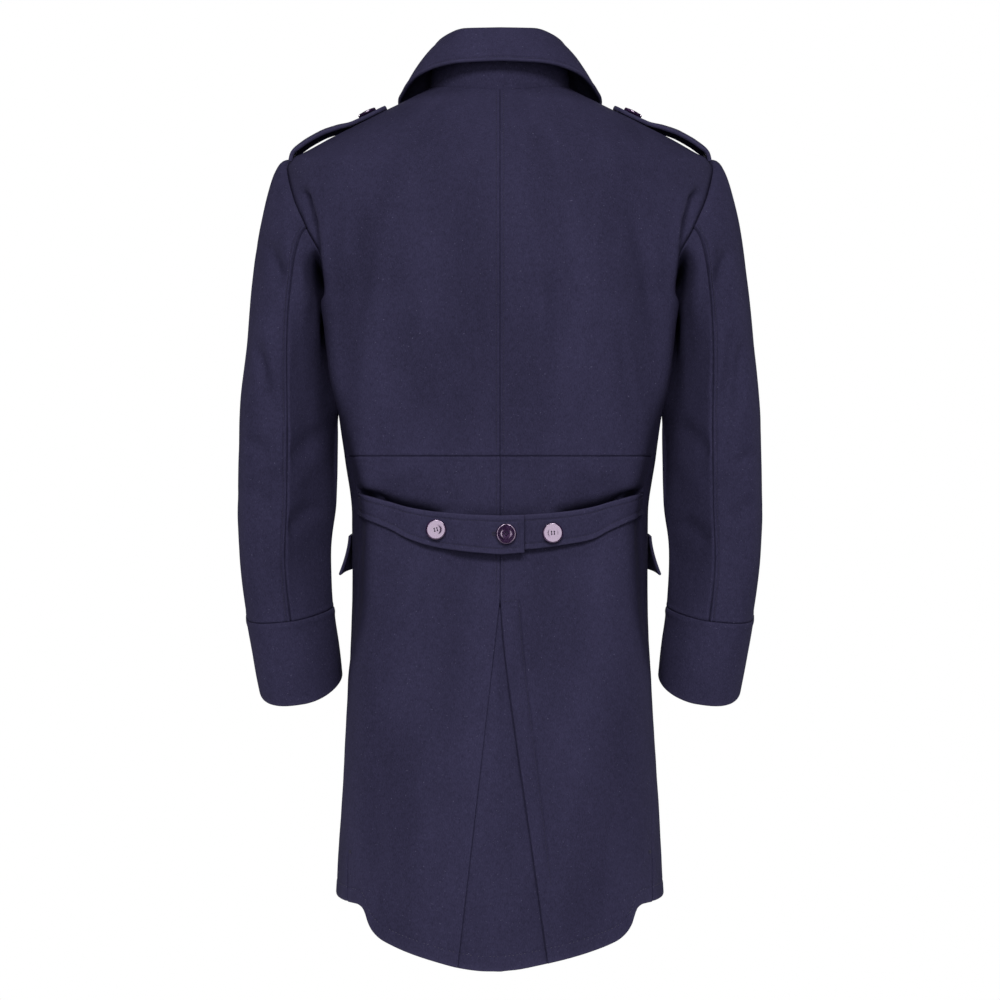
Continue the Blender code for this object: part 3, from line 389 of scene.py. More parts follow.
SLEEVE_AT = {n: curve(range(1, len(SLEEVE) + 1), [r[i] for r in SLEEVE])
             for i, n in enumerate(SLEEVE_COLUMNS) if i > 0}


# ------------------------------------------------------------------ surfaces
def body(angle, s):
    """Outer face of the coat: angle in degrees from the centre back towards
    the wearer's left, s the height at the side."""
    angle, s = np.broadcast_arrays(np.asarray(angle, float), np.asarray(s, float))
    t = np.radians(angle)
    c, q = np.cos(t), np.sin(t)
    back = c >= 0
    depth = np.where(back, BODY_AT["back_depth"](s), BODY_AT["front_depth"](s))
    mid_z = np.where(back, BODY_AT["back_z"](s), BODY_AT["front_z"](s))
    n = np.where(back, BODY_AT["back_square"](s), BODY_AT["front_square"](s))
    width = BODY_AT["half_width"](s) * (1 - BODY_AT["pinch"](s) * smoothstep(c / 0.5))
    r = ((np.abs(c) / depth) ** n + (np.abs(q) / width) ** n) ** (-1 / n)
    return np.stack((r * q, r * c, s + (mid_z - s) * c * c), -1)


def body_frame(angle, s):
    """Tangents round the body and up it, and the outward normal."""
    e, f = 0.05, 0.2
    around = unit(body(angle + e, s) - body(angle - e, s))
    up = unit(body(angle, np.minimum(s + f, NECK)) - body(angle, np.maximum(s - f, LOWEST)))
    return around, up, unit(np.cross(up, around))


def body_angle(x, s, front=False):
    """Angle at which the body's ring at s passes the distance x."""
    x, s = np.broadcast_arrays(np.asarray(x, float), np.asarray(s, float))
    a = np.full(x.shape, 180.0 if front else 0.0)
    for _ in range(30):
        p = body(a, s)
        b = np.degrees(np.arcsin(np.clip(x / np.hypot(p[..., 0], p[..., 1]), -1.0, 1.0)))
        a = 180.0 - b if front else b
    return a


def gap_angle(angle, s, gap=SEAM / 2):
    p = body(angle, s)
    return np.degrees(gap / np.hypot(p[..., 0], p[..., 1]))


def side_edge(s, back=True, gap=SEAM / 2):
    """Angle of a back or front panel's outer edge: side seam, armhole, shoulder."""
    s = np.asarray(s, float)
    hole = 90.0 - BODY_AT["hole_back"](s) if back else 90.0 + BODY_AT["hole_front"](s)
    a = np.where(s <= ARMPIT, SIDE_SEAM_AT(s), np.where(s < SHOULDER, hole, 90.0))
    g = gap_angle(a, s, gap)
    return a - g if back else a + g


def armhole(around):
    """Point of the armhole's edge, and the directions past it and out of it."""
    a = np.mod(np.asarray(around, float), 360.0)
    back = a <= 180.0
    s = ARMHOLE_AT(np.where(back, a, 360.0 - a))
    angle = np.where(back, 90.0 - BODY_AT["hole_back"](s), 90.0 + BODY_AT["hole_front"](s))
    around_dir, up, normal = body_frame(angle, s)
    c, q = np.cos(np.radians(a))[..., None], np.sin(np.radians(a))[..., None]
    past = unit(np.abs(q) * q * around_dir - c * np.abs(c) * up)
    return body(angle, s), past, normal


def sleeve_section(around, t):
    """Rounded part of the sleeve, t from 1 (bicep) to 7 (sleeve end)."""
    around, t = np.broadcast_arrays(np.asarray(around, float), np.asarray(t, float))
    k = {n: f(t) for n, f in SLEEVE_AT.items()}
    c, q = np.cos(np.radians(around)), np.sin(np.radians(around))
    n = np.where(q < 0, 2.0, np.where(c >= 0, k["outer_square"], k["inner_square"]))
    r = (np.abs(c) ** n + np.abs(q) ** n) ** (-1 / n)
    turned = np.radians(around + SLEEVE_TURN)
    px, py = k["half_width"] * r * np.cos(turned), k["half_depth"] * r * np.sin(turned)
    f, g = np.radians(k["tip_forward"]), np.radians(k["tip_side"])
    qy, qz = py * np.cos(f), -py * np.sin(f)
    return np.stack((px * np.cos(g) - qz * np.sin(g) + k["x"], qy + k["y"],
                     px * np.sin(g) + qz * np.cos(g) + k["z"]), -1)


def sleeve(around, t):
    """Outer face of the left sleeve: t from 0 (armhole) over 1 (bicep) to 7."""
    around, t = np.broadcast_arrays(np.asarray(around, float), np.asarray(t, float))
    lower = sleeve_section(around, np.maximum(t, 1.0))
    c, q = np.cos(np.radians(around)), np.sin(np.radians(around))
    edge, past, normal = armhole(around)
    p0 = edge - 0.15 * past
    p1 = sleeve_section(around, 1.0)
    span = np.linalg.norm(p1 - p0, axis=-1)[..., None]
    start = unit(np.stack((np.full(c.shape, 0.88), 0.22 * q, -0.2 - 0.2 * c - 0.3 * q * q), -1))
    end = unit(sleeve_section(around, 1.02) - p1)
    u = np.clip(t, 0.0, 1.0)[..., None]
    h00, h10 = (1 + 2 * u) * (1 - u) ** 2, u * (1 - u) ** 2
    h01, h11 = u * u * (3 - 2 * u), u * u * (u - 1)
    p = h00 * p0 + h10 * (0.40 + 0.12 * c[..., None]) * span * start + h01 * p1 + h11 * span * end
    crown = CROWN_RISE * np.maximum(0.0, c)[..., None] * (u / 0.09) * np.exp(1.0 - u / 0.09)
    p = p + crown * np.array((0.86, 0.0, 0.5))
    return np.where((t >= 1.0)[..., None], lower, p)


def collar(angle, w):
    """Middle of the collar's cloth: w 0-1 the stand, 1-2 its fold, 2-3 the fall."""
    angle, w = np.broadcast_arrays(np.asarray(angle, float), np.asarray(w, float))
    a, side = np.abs(angle), np.where(angle >= 0, 1.0, -1.0)
    k = {n: f(a) for n, f in COLLAR_AT.items()}
    fold = np.stack((k["fold_x"], k["fold_y"], k["fold_z"]), -1)
    edge = np.stack((k["edge_x"], k["edge_y"], k["edge_z"]), -1)
    out = edge - fold
    out[..., 2] = 0.0
    out = unit(out)
    up = np.array((0.0, 0.0, 1.0))
    neck = np.full(a.shape, NECK)
    around_dir, rise, normal = body_frame(a, neck)
    base = body(a, neck) - 3.2 * rise
    inward = base.copy()
    inward[..., 2] = 0.0
    inward = -unit(inward)
    base = base + 0.6 * WALL * inward
    axis = fold - COLLAR_ROLL * up
    top = axis - COLLAR_ROLL * out
    v = np.clip(w, 0.0, 1.0)[..., None]
    stand = base + (top - base) * v - 2.5 * np.sin(np.pi * v) * inward * 0.6
    g = np.pi * np.clip(w - 1.0, 0.0, 1.0)[..., None]
    roll = axis + COLLAR_ROLL * (np.sin(g) * up - np.cos(g) * out)
    q = np.clip(w - 2.0, 0.0, 1.0)[..., None]
    start = axis + COLLAR_ROLL * out
    bend = start + (edge - start) * (0.52, 0.52, 0.28)
    fall = (1 - q) ** 2 * start + 2 * q * (1 - q) * bend + q * q * edge
    p = np.where((w <= 1.0)[..., None], stand, np.where((w <= 2.0)[..., None], roll, fall))
    p[..., 0] *= side
    return p


def belt_point(x, down, rise, low, tuck=0.45):
    """Half belt's outer face: x across, down 0 (top edge) to 1 (low edge), which
    lies closer to the coat by the tuck."""
    ax = np.abs(x)
    z = BELT_AT["top"](ax) * (1 - down) + BELT_AT[low](ax) * down
    angle = body_angle(x, z)
    normal = body_frame(angle, z)[2]
    stand = BELT_AT["stand_off"](ax) * (1 - tuck * np.clip(down, 0.0, 1.0) ** 1.5)
    return body(angle, z) + (stand + BELT_WALL + rise)[..., None] * normal


def strap_point(x, across):
    """Shoulder strap's top face on the wearer's left."""
    x, across = np.broadcast_arrays(np.asarray(x, float), np.asarray(across, float))
    y = across * STRAP_AT["half_width"](x)
    ridge = NECK - (x - 77.0) * (NECK - SHOULDER) / (240.0 - 77.0)
    arch = STRAP_ARCH * (1.0 + 1.0 * smoothstep((x - 165.0) / 25.0) * smoothstep((240.0 - x) / 12.0))
    return np.stack((x, y, ridge + STRAP_AT["above_ridge"](x) - arch * y * y), -1)


def flap_point(angle, down):
    """Pocket flap's outer face on the left front."""
    z = FLAP_AT["top"](angle) * (1 - down) + FLAP_AT["low"](angle) * down
    normal = body_frame(angle, z)[2]
    lift = FLAP_WALL + 1.7 + FLAP_AT["flare"](angle) * np.asarray(down, float) ** 1.6
    return body(angle, z) + lift[..., None] * normal


# ------------------------------------------------------------- fine surfaces
# Stations near an edge, in mm from it: close enough for a round rim and a row
# of stitches.
EDGE = (0.0, 0.12, 0.4, 0.8, 1.25, 1.9, 2.7, 3.5, 4.3, 5.1, 5.9, 6.7, 7.5, 8.6, 10.2)
PLAIN_EDGE = (0.0, 0.12, 0.4, 0.8, 1.25, 2.0, 3.2)
HEM_EDGE = EDGE + (12.0, 13.4, 14.4, 15.2, 16.0, 16.8, 17.8, 19.2)


def spread(length, step, first=EDGE, last=EDGE, count=None):
    """Stations along a line in mm, fine at both ends; count fixes their number."""
    a, b = np.array(first), np.array(last)
    room = a[-1] + b[-1]
    k = min(1.0, 0.7 * length / max(room, 1e-6))
    a, b = a * k, b * k
    if count is None:
        count = max(2, int(round((length - a[-1] - b[-1]) / step)))
    middle = np.linspace(a[-1], length - b[-1], count + 1)[1:-1]
    return np.concatenate((a, middle, length - b[::-1])), count


def stations_along(fn, lo, hi, step, first=EDGE, last=EDGE, samples=400):
    """Parameters between lo and hi whose points lie at even, edge-fine distances."""
    u = np.linspace(lo, hi, samples)
    p = fn(u)
    run = np.concatenate(((0.0,), np.cumsum(np.linalg.norm(np.diff(p, axis=0), axis=-1))))
    return np.interp(spread(run[-1], step, first, last)[0], run, u)


def rows_of(fn, v, lo, hi, step, first=EDGE, last=EDGE, samples=300):
    """Grid of parameters: for each row v, stations between lo(v) and hi(v) at even,
    edge-fine distances, the same number in every row."""
    lo, hi = np.broadcast_to(lo, v.shape), np.broadcast_to(hi, v.shape)
    t = np.linspace(0.0, 1.0, samples)
    u = lo[:, None] + (hi - lo)[:, None] * t[None, :]
    p = fn(u, np.broadcast_to(v[:, None], u.shape))
    run = np.concatenate((np.zeros((len(v), 1)),
                          np.cumsum(np.linalg.norm(np.diff(p, axis=1), axis=-1), axis=1)), axis=1)
    count = spread(float(np.max(run[:, -1])), step, first, last)[1]
    return np.array([np.interp(spread(run[i, -1], step, first, last, count)[0], run[i], u[i])
                     for i in range(len(v))])


def grid_normals(p, tube=False):
    """Normals of a grid whose rows and columns follow the cloth."""
    if tube:
        wide = np.concatenate((p[:, -2:], p, p[:, :2]), axis=1)
        du = np.gradient(wide, axis=1)[:, 2:-2]
    else:
        du = np.gradient(p, axis=1)
    dv = np.gradient(p, axis=0)
    return unit(np.cross(dv, du))


def outward(p, n):
    """Normals turned to point away from the middle of a round piece."""
    away = p - p.mean(axis=1, keepdims=True)
    return n if np.sum(away * n) > 0 else -n


def edge_distances(p, tube=False):
    """Distance of each grid point from the first and last row and column."""
    def runs(q, axis):
        d = np.linalg.norm(np.diff(q, axis=axis), axis=-1)
        zero = np.zeros_like(np.take(d, [0], axis=axis))
        run = np.concatenate((zero, np.cumsum(d, axis=axis)), axis=axis)
        return run, np.take(run, [-1], axis=axis) - run
    first, last = runs(p, 0)
    left, right = runs(p, 1)
    if tube:
        left = right = np.full(left.shape, 1e3)
    return first, last, left, right


def rounding(dist, radius):
    """How far a rounded edge falls back at a distance from it."""
    if radius <= 0:
        return np.zeros_like(dist)
    g = np.clip((radius - dist) / radius, 0.0, 1.0)
    return radius * (1 - np.sqrt(1 - g * g))


def creases(x, z, table):
    """Sum of a table's ridges and troughs at points (x, z)."""
    total = np.zeros(np.broadcast(x, z).shape)
    for x0, z0, x1, z1, bow, half_width, height in table:
        dx, dz = x1 - x0, z1 - z0
        length = math.hypot(dx, dz)
        t = ((x - x0) * dx + (z - z0) * dz) / length ** 2
        off = ((x - x0) * dz - (z - z0) * dx) / length - bow * 4 * t * (1 - t)
        ends = smoothstep((t + 0.14) / 0.36) * smoothstep((1.14 - t) / 0.36)
        total += height * np.exp(-(off / half_width) ** 2) * ends
    return total


def ripple(p, seed, wave, height):
    """Slow uneven waviness of hanging cloth, from a few seeded waves."""
    rng = np.random.default_rng(seed)
    total = np.zeros(p.shape[:-1])
    for _ in range(14):
        k = rng.normal(size=3) * np.array((1.0, 1.0, 0.55))
        k *= 2 * np.pi / (wave * rng.uniform(0.7, 1.6)) / max(np.linalg.norm(k), 1e-6)
        total += np.sin(p @ k + rng.uniform(0, 2 * np.pi)) * rng.uniform(0.5, 1.0)
    return height * total / 3.6


def groove(dist, at, width, depth):
    return -depth * np.exp(-((dist - at) / width) ** 2)


def seam(dist, depth=1.5, width=1.05, puff=0.45, puff_at=3.6, puff_width=2.2):
    """Cloth drawn in along a seam line, and puffed a little beside it."""
    return (-depth * np.exp(-(dist / width) ** 2)
            + puff * np.exp(-((dist - puff_at) / puff_width) ** 2))


PIECES = {}


class Cloth:
    """One cut piece: a closed thin shell over a grid of points in mm.

    p and n are the outer face and its normals, soft the creases, fine the seams
    and stitch dents, wall the thickness, rims the rounding at the first and last
    row and the first and last column."""

    def __init__(self, name, p, n, soft=0.0, fine=0.0, wall=WALL, rims=(1.1, 1.1, 1.1, 1.1),
                 tube=False, side=1.0, wear=None, material=None):
        self.name, self.tube, self.side = name, tube, side
        rows, cols = p.shape[:2]
        first, last, left, right = edge_distances(p, tube)
        drop = np.maximum.reduce([rounding(first, rims[0]), rounding(last, rims[1]),
                                  rounding(left, rims[2]), rounding(right, rims[3])])
        soft = np.broadcast_to(soft, (rows, cols))
        fine = np.broadcast_to(fine, (rows, cols))
        wall = np.broadcast_to(wall, (rows, cols))
        outer = p + (soft + fine - drop)[..., None] * n
        inner = p + (soft - wall + np.minimum(drop, wall / 2 - 0.05))[..., None] * n
        if side < 0:
            outer, inner = outer * (-1, 1, 1), inner * (-1, 1, 1)
            n = n * (-1, 1, 1)
        self.outer, self.inner, self.n = outer, inner, n
        self.first, self.last, self.left, self.right = first, last, left, right
        middle = (outer + inner) / 2
        self.width = float(np.max(edge_distances(middle)[2])) * MM
        self.length = float(np.max(edge_distances(middle)[0])) * MM
        if tube:
            ring = np.concatenate((middle, middle[:, :1]), axis=1)
            self.width = float(np.max(edge_distances(ring)[2])) * MM
        a = middle[1:, :-1] - middle[:-1, :-1]
        b = middle[:-1, 1:] - middle[:-1, :-1]
        self.area = float(np.sum(np.linalg.norm(np.cross(a, b), axis=-1))) * MM * MM
        self.object = self.build(rows, cols, wear, material)
        PIECES[name] = self

    def build(self, rows, cols, wear, material):
        verts = np.concatenate((self.outer.reshape(-1, 3), self.inner.reshape(-1, 3))) * MM
        size = rows * cols
        i, j = np.meshgrid(np.arange(rows - 1), np.arange(cols if self.tube else cols - 1), indexing="ij")
        k = (j + 1) % cols
        a, b, c, d = i * cols + j, i * cols + k, (i + 1) * cols + k, (i + 1) * cols + j
        face = np.stack((a, b, c, d), -1).reshape(-1, 4)
        back = np.stack((a, d, c, b), -1).reshape(-1, 4) + size
        jj = np.arange(cols if self.tube else cols - 1)
        kk = (jj + 1) % cols
        end = (rows - 1) * cols
        caps = [np.stack((jj, jj + size, kk + size, kk), -1),
                np.stack((end + jj, end + kk, end + kk + size, end + jj + size), -1)]
        if not self.tube:
            ii = np.arange(rows - 1) * cols
            caps += [np.stack((ii, ii + cols, ii + cols + size, ii + size), -1),
                     np.stack((ii + cols - 1, ii + cols - 1 + size, ii + 2 * cols - 1 + size,
                               ii + 2 * cols - 1), -1)]
        faces = np.concatenate([face, back] + caps)
        mid = face[len(face) // 2]
        turn = np.cross(verts[mid[1]] - verts[mid[0]], verts[mid[3]] - verts[mid[0]])
        if np.dot(turn, self.n.reshape(-1, 3)[mid[0]]) < 0:
            faces = faces[:, ::-1]
        obj = mesh_object(self.name, verts, faces, material)
        worn = np.zeros(2 * size)
        if wear is not None:
            worn[:size] = np.broadcast_to(wear, (rows, cols)).ravel()
        field = obj.data.attributes.new("wear", "FLOAT", "POINT")
        field.data.foreach_set("value", worn.astype(np.float32))
        return obj

    def at(self, row, col):
        """Point and normal of the outer face at fractional row and column."""
        rows, cols = self.outer.shape[:2]
        row = np.clip(np.asarray(row, float), 0, rows - 1.001)
        col = np.clip(np.asarray(col, float), 0, cols - 1.001) if not self.tube else np.mod(col, cols)
        i, j = row.astype(int), col.astype(int)
        f, g = (row - i)[..., None], (col - j)[..., None]
        k = (j + 1) % cols
        out = []
        for grid in (self.outer, self.n):
            out.append((1 - f) * ((1 - g) * grid[i, j] + g * grid[i, k])
                       + f * ((1 - g) * grid[i + 1, j] + g * grid[i + 1, k]))
        return out[0], unit(out[1])

    def down_column(self, offset, from_last=False, lo=0.0, hi=0.0):
        """Line along a side edge at an offset in mm, leaving lo and hi mm at its ends."""
        rows = np.arange(self.outer.shape[0])
        dist = self.right if from_last else self.left
        keep = (self.first.mean(1) >= lo) & (self.last.mean(1) >= hi)
        rows = rows[keep]
        span = np.arange(self.outer.shape[1], dtype=float)
        if from_last:
            cols = np.array([np.interp(offset, dist[r][::-1], span[::-1]) for r in rows])
        else:
            cols = np.array([np.interp(offset, dist[r], span) for r in rows])
        return self.at(rows, cols)

    def down_share(self, share, keep):
        """Line down the piece at a share of its width, over the rows to keep."""
        rows = np.arange(self.outer.shape[0])[keep]
        span = np.arange(self.outer.shape[1], dtype=float)
        part = self.left / (self.left + self.right)
        return self.at(rows, np.array([np.interp(share, part[r], span) for r in rows]))

    def along_row(self, offset, from_last=False, lo=0.0, hi=0.0):
        """Line along the first or last row at an offset in mm."""
        cols = np.arange(self.outer.shape[1])
        dist = self.last if from_last else self.first
        keep = (self.left.mean(0) >= lo) & (self.right.mean(0) >= hi)
        cols = cols[keep]
        span = np.arange(self.outer.shape[0], dtype=float)
        if from_last:
            rows = np.array([np.interp(offset, dist[:, c][::-1], span[::-1]) for c in cols])
        else:
            rows = np.array([np.interp(offset, dist[:, c], span) for c in cols])
        if self.tube:
            rows, cols = np.append(rows, rows[0]), np.append(cols, cols[0])
        return self.at(rows, cols)


def mesh_object(name, verts, faces, material):
    mesh = bpy.data.meshes.new(name)
    mesh.from_pydata(verts.tolist(), [], faces.tolist())
    mesh.polygons.foreach_set("use_smooth", np.ones(len(mesh.polygons), bool))
    mesh.update()
    obj = bpy.data.objects.new(name, mesh)
    bpy.context.scene.collection.objects.link(obj)
    if material is not None:
        mesh.materials.append(material)
    return obj


# ----------------------------------------------------------------- materials
def new_material(name):
    mat = bpy.data.materials.new(name)
    mat.use_nodes = True
    tree = mat.node_tree
    return mat, tree.nodes, tree.links, tree.nodes["Principled BSDF"]


def node(nodes, kind, **values):
    n = nodes.new(kind)
    for key, value in values.items():
        if key in n.inputs:
            n.inputs[key].default_value = value
        else:
            setattr(n, key, value)
    return n


def ramp(nodes, stops):
    r = nodes.new("ShaderNodeValToRGB")
    while len(r.color_ramp.elements) < len(stops):
        r.color_ramp.elements.new(0.5)
    for e, (pos, value) in zip(r.color_ramp.elements, stops):
        e.position = pos
        e.color = (*value, 1.0) if hasattr(value, "__len__") else (value, value, value, 1.0)
    return r


def wool_material(name, dark, light, nap=1.0, sheen=0.008):
    """Milled wool: a felted nap of fine fibres, pale lint, slow unevenness, and
    worn edges a little paler than the cloth."""
    mat, nodes, links, shader = new_material(name)
    coords = nodes.new("ShaderNodeTexCoord")
    stretch = node(nodes, "ShaderNodeMapping")
    stretch.inputs["Scale"].default_value = (1.0, 1.0, 0.36)
    links.new(coords.outputs["Object"], stretch.inputs["Vector"])
    fibre = node(nodes, "ShaderNodeTexNoise", Scale=1100.0, Detail=5.0, Roughness=0.68)
    links.new(stretch.outputs["Vector"], fibre.inputs["Vector"])
    clump = node(nodes, "ShaderNodeTexNoise", Scale=210.0, Detail=3.0, Roughness=0.6)
    links.new(coords.outputs["Object"], clump.inputs["Vector"])
    slow = node(nodes, "ShaderNodeTexNoise", Scale=14.0, Detail=3.0, Roughness=0.55)
    links.new(stretch.outputs["Vector"], slow.inputs["Vector"])
    lint = node(nodes, "ShaderNodeTexNoise", Scale=620.0, Detail=1.0, Roughness=0.4)
    links.new(coords.outputs["Object"], lint.inputs["Vector"])

    tone = ramp(nodes, ((0.30, dark), (0.72, light)))
    links.new(fibre.outputs["Fac"], tone.inputs["Fac"])
    slow_ramp = ramp(nodes, ((0.32, 0.86), (0.70, 1.12)))
    links.new(slow.outputs["Fac"], slow_ramp.inputs["Fac"])
    clump_ramp = ramp(nodes, ((0.30, 0.90), (0.72, 1.09)))
    links.new(clump.outputs["Fac"], clump_ramp.inputs["Fac"])
    uneven = node(nodes, "ShaderNodeMix", data_type="RGBA", blend_type="MULTIPLY")
    uneven.inputs["Factor"].default_value = 1.0
    links.new(tone.outputs["Color"], uneven.inputs["A"])
    links.new(slow_ramp.outputs["Color"], uneven.inputs["B"])
    felted = node(nodes, "ShaderNodeMix", data_type="RGBA", blend_type="MULTIPLY")
    felted.inputs["Factor"].default_value = 1.0
    links.new(uneven.outputs["Result"], felted.inputs["A"])
    links.new(clump_ramp.outputs["Color"], felted.inputs["B"])
    specks = ramp(nodes, ((0.735, 0.0), (0.79, 1.0)))
    links.new(lint.outputs["Fac"], specks.inputs["Fac"])
    speck_mix = node(nodes, "ShaderNodeMix", data_type="RGBA")
    links.new(specks.outputs["Color"], speck_mix.inputs["Factor"])
    links.new(felted.outputs["Result"], speck_mix.inputs["A"])
    speck_mix.inputs["B"].default_value = (light[0] * 2.0, light[1] * 2.05, light[2] * 1.7, 1.0)
    worn = node(nodes, "ShaderNodeAttribute", attribute_name="wear")
    wear_ramp = ramp(nodes, ((0.0, 0.0), (1.0, 0.5)))
    links.new(worn.outputs["Fac"], wear_ramp.inputs["Fac"])
    worn_mix = node(nodes, "ShaderNodeMix", data_type="RGBA")
    links.new(wear_ramp.outputs["Color"], worn_mix.inputs["Factor"])
    links.new(speck_mix.outputs["Result"], worn_mix.inputs["A"])
    worn_mix.inputs["B"].default_value = (light[0] * 1.7, light[1] * 1.7, light[2] * 1.6, 1.0)
    links.new(worn_mix.outputs["Result"], shader.inputs["Base Color"])

    rough = ramp(nodes, ((0.3, 0.82), (0.7, 0.97)))
    links.new(clump.outputs["Fac"], rough.inputs["Fac"])
    links.new(rough.outputs["Color"], shader.inputs["Roughness"])
    felt_bump = node(nodes, "ShaderNodeBump", Strength=0.35 * nap, Distance=0.0012)
    links.new(clump.outputs["Fac"], felt_bump.inputs["Height"])
    fibre_bump = node(nodes, "ShaderNodeBump", Strength=0.55 * nap, Distance=0.0005)
    links.new(fibre.outputs["Fac"], fibre_bump.inputs["Height"])
    links.new(felt_bump.outputs["Normal"], fibre_bump.inputs["Normal"])
    links.new(fibre_bump.outputs["Normal"], shader.inputs["Normal"])
    shader.inputs["Specular IOR Level"].default_value = 0.03
    shader.inputs["Sheen Weight"].default_value = sheen
    shader.inputs["Sheen Roughness"].default_value = 0.55
    shader.inputs["Sheen Tint"].default_value = (0.42, 0.38, 0.72, 1.0)
    return mat


def thread_material(name, dark, light):
    """Twisted sewing thread, with a soft gloss along its strands."""
    mat, nodes, links, shader = new_material(name)
    coords = nodes.new("ShaderNodeTexCoord")
    twist = node(nodes, "ShaderNodeTexNoise", Scale=2400.0, Detail=2.0, Roughness=0.5)
    links.new(coords.outputs["Object"], twist.inputs["Vector"])
    tone = ramp(nodes, ((0.3, dark), (0.7, light)))
    links.new(twist.outputs["Fac"], tone.inputs["Fac"])
    links.new(tone.outputs["Color"], shader.inputs["Base Color"])
    rough = ramp(nodes, ((0.3, 0.45), (0.7, 0.65)))
    links.new(twist.outputs["Fac"], rough.inputs["Fac"])
    links.new(rough.outputs["Color"], shader.inputs["Roughness"])
    shader.inputs["Specular IOR Level"].default_value = 0.2
    bump = node(nodes, "ShaderNodeBump", Strength=0.4, Distance=0.0002)
    links.new(twist.outputs["Fac"], bump.inputs["Height"])
    links.new(bump.outputs["Normal"], shader.inputs["Normal"])
    return mat


def button_material(name):
    """Polished plum resin with a faint cloudy figure under a clear surface."""
    mat, nodes, links, shader = new_material(name)
    coords = nodes.new("ShaderNodeTexCoord")
    cloud = node(nodes, "ShaderNodeTexNoise", Scale=120.0, Detail=3.0, Roughness=0.5, Distortion=0.8)
    links.new(coords.outputs["Object"], cloud.inputs["Vector"])
    tone = ramp(nodes, ((0.30, (0.013, 0.004, 0.022)), (0.55, (0.030, 0.009, 0.048)), (0.78, (0.075, 0.030, 0.105))))
    links.new(cloud.outputs["Fac"], tone.inputs["Fac"])
    links.new(tone.outputs["Color"], shader.inputs["Base Color"])
    rough = ramp(nodes, ((0.3, 0.07), (0.7, 0.13)))
    links.new(cloud.outputs["Fac"], rough.inputs["Fac"])
    links.new(rough.outputs["Color"], shader.inputs["Roughness"])
    shader.inputs["IOR"].default_value = 2.2
    shader.inputs["Specular Tint"].default_value = (0.96, 0.76, 1.0, 1.0)
    shader.inputs["Coat Weight"].default_value = 0.5
    shader.inputs["Coat Roughness"].default_value = 0.08
    return mat


WOOL = wool_material("wool_navy", (0.0265, 0.0240, 0.0530), (0.0500, 0.0455, 0.0980))
THREAD = thread_material("thread_navy", (0.018, 0.016, 0.034), (0.040, 0.036, 0.070))
HEM_THREAD = thread_material("thread_hem", (0.060, 0.056, 0.085), (0.125, 0.118, 0.160))
BUTTON = button_material("button_plum")

SIDES = (("left", 1.0), ("right", -1.0))


# ----------------------------------------------------------------- the pieces
def facing_back(p, soft=0.30):
    """1 on the back of the body, 0 on its front, soft at the sides."""
    c = p[..., 1] / np.hypot(p[..., 0], p[..., 1])
    return smoothstep((c + 0.02) / soft)


def facing_front(p, soft=0.30):
    c = -p[..., 1] / np.hypot(p[..., 0], p[..., 1])
    return smoothstep((c + 0.02) / soft)


def body_soft(p, side):
    """Creases of the body's cloth at points of its left half, as they lie on a side."""
    x, z = p[..., 0] * side, p[..., 2]
    total = (CREASED * creases(x, z, BACK_CREASES) + creases(x, z, BELT_CREASES)) * facing_back(p)
    total += CREASED * creases(x, z, FRONT_CREASES) * facing_front(p)
    mirrored = p * (side, 1.0, 1.0)
    total += ripple(mirrored, 11, 95.0, 0.55) + ripple(mirrored, 12, 34.0, 0.16)
    return total


def armhole_sink(p, dist, reach):
    """Move of the cloth at the back of an armhole, at a distance from its seam."""
    back = smoothstep((p[..., 1] + 10.0) / 40.0)
    return (SINK_AT(p[..., 2]) * np.exp(-(dist / reach) ** 2) * back)[..., None] * np.array(ARMHOLE_SINK_WAY)


def arm_roll(p, dist):
    """Move of the sleeve's inner back as it turns away beside the body."""
    turn = np.clip(ARM_ROLL_FROM - p[..., 0], 0.0, 30.0) ** 2 / 22.0 * ROLL_AT(p[..., 2])
    turn = turn + np.clip(ARM_LEAN_FROM - p[..., 0], 0.0, 60.0) * LEAN_AT(p[..., 2])
    turn = np.minimum(turn, 0.65 * np.clip(p[..., 1] + 15.0, 0.0, None)) * smoothstep(dist / 9.0)
    return turn[..., None] * np.array((0.0, -1.0, 0.0))


def edge_wear(*dists, reach=3.0, amount=0.55):
    return amount * np.exp(-np.minimum.reduce([np.asarray(d) for d in dists]) / reach)


# Upper back: rows from the waist seam to the neck, columns from the centre back
# seam to the side seam, armhole and shoulder seam.
BACK_STEP = 3.6
reference = stations_along(lambda s: body(np.full(s.shape, 30.0), s), WAIST_SEAM + SEAM / 2, NECK, BACK_STEP)
for side_name, side in SIDES:
    s = reference
    u = rows_of(body, s, gap_angle(0.0, s), side_edge(s, True), BACK_STEP)
    ss = np.broadcast_to(s[:, None], u.shape)
    p = body(u, ss)
    n = body_frame(u, ss)[2]
    first, last, left, right = edge_distances(p)
    soft = body_soft(p, side)
    soft = soft + creases(p[..., 0], p[..., 2], ARMHOLE_CREASES) * smoothstep((right - 1.0) / 7.0)
    soft = soft * smoothstep(np.minimum(right, last) / 9.0 + 0.1)
    soft = soft + seam(first, 1.1, 0.9) + seam(left, 0.42, 0.8, 0.22, 2.2, 1.4) + seam(last, 0.5) * (p[..., 2] > 0)
    fine = groove(left, 4.2, 0.9, 0.4)
    p = p + armhole_sink(p, right, 5.5)
    Cloth("upper_back_" + side_name, p, n, soft, fine, side=side, material=WOOL,
          rims=(1.2, 1.0, 1.2, 1.0))

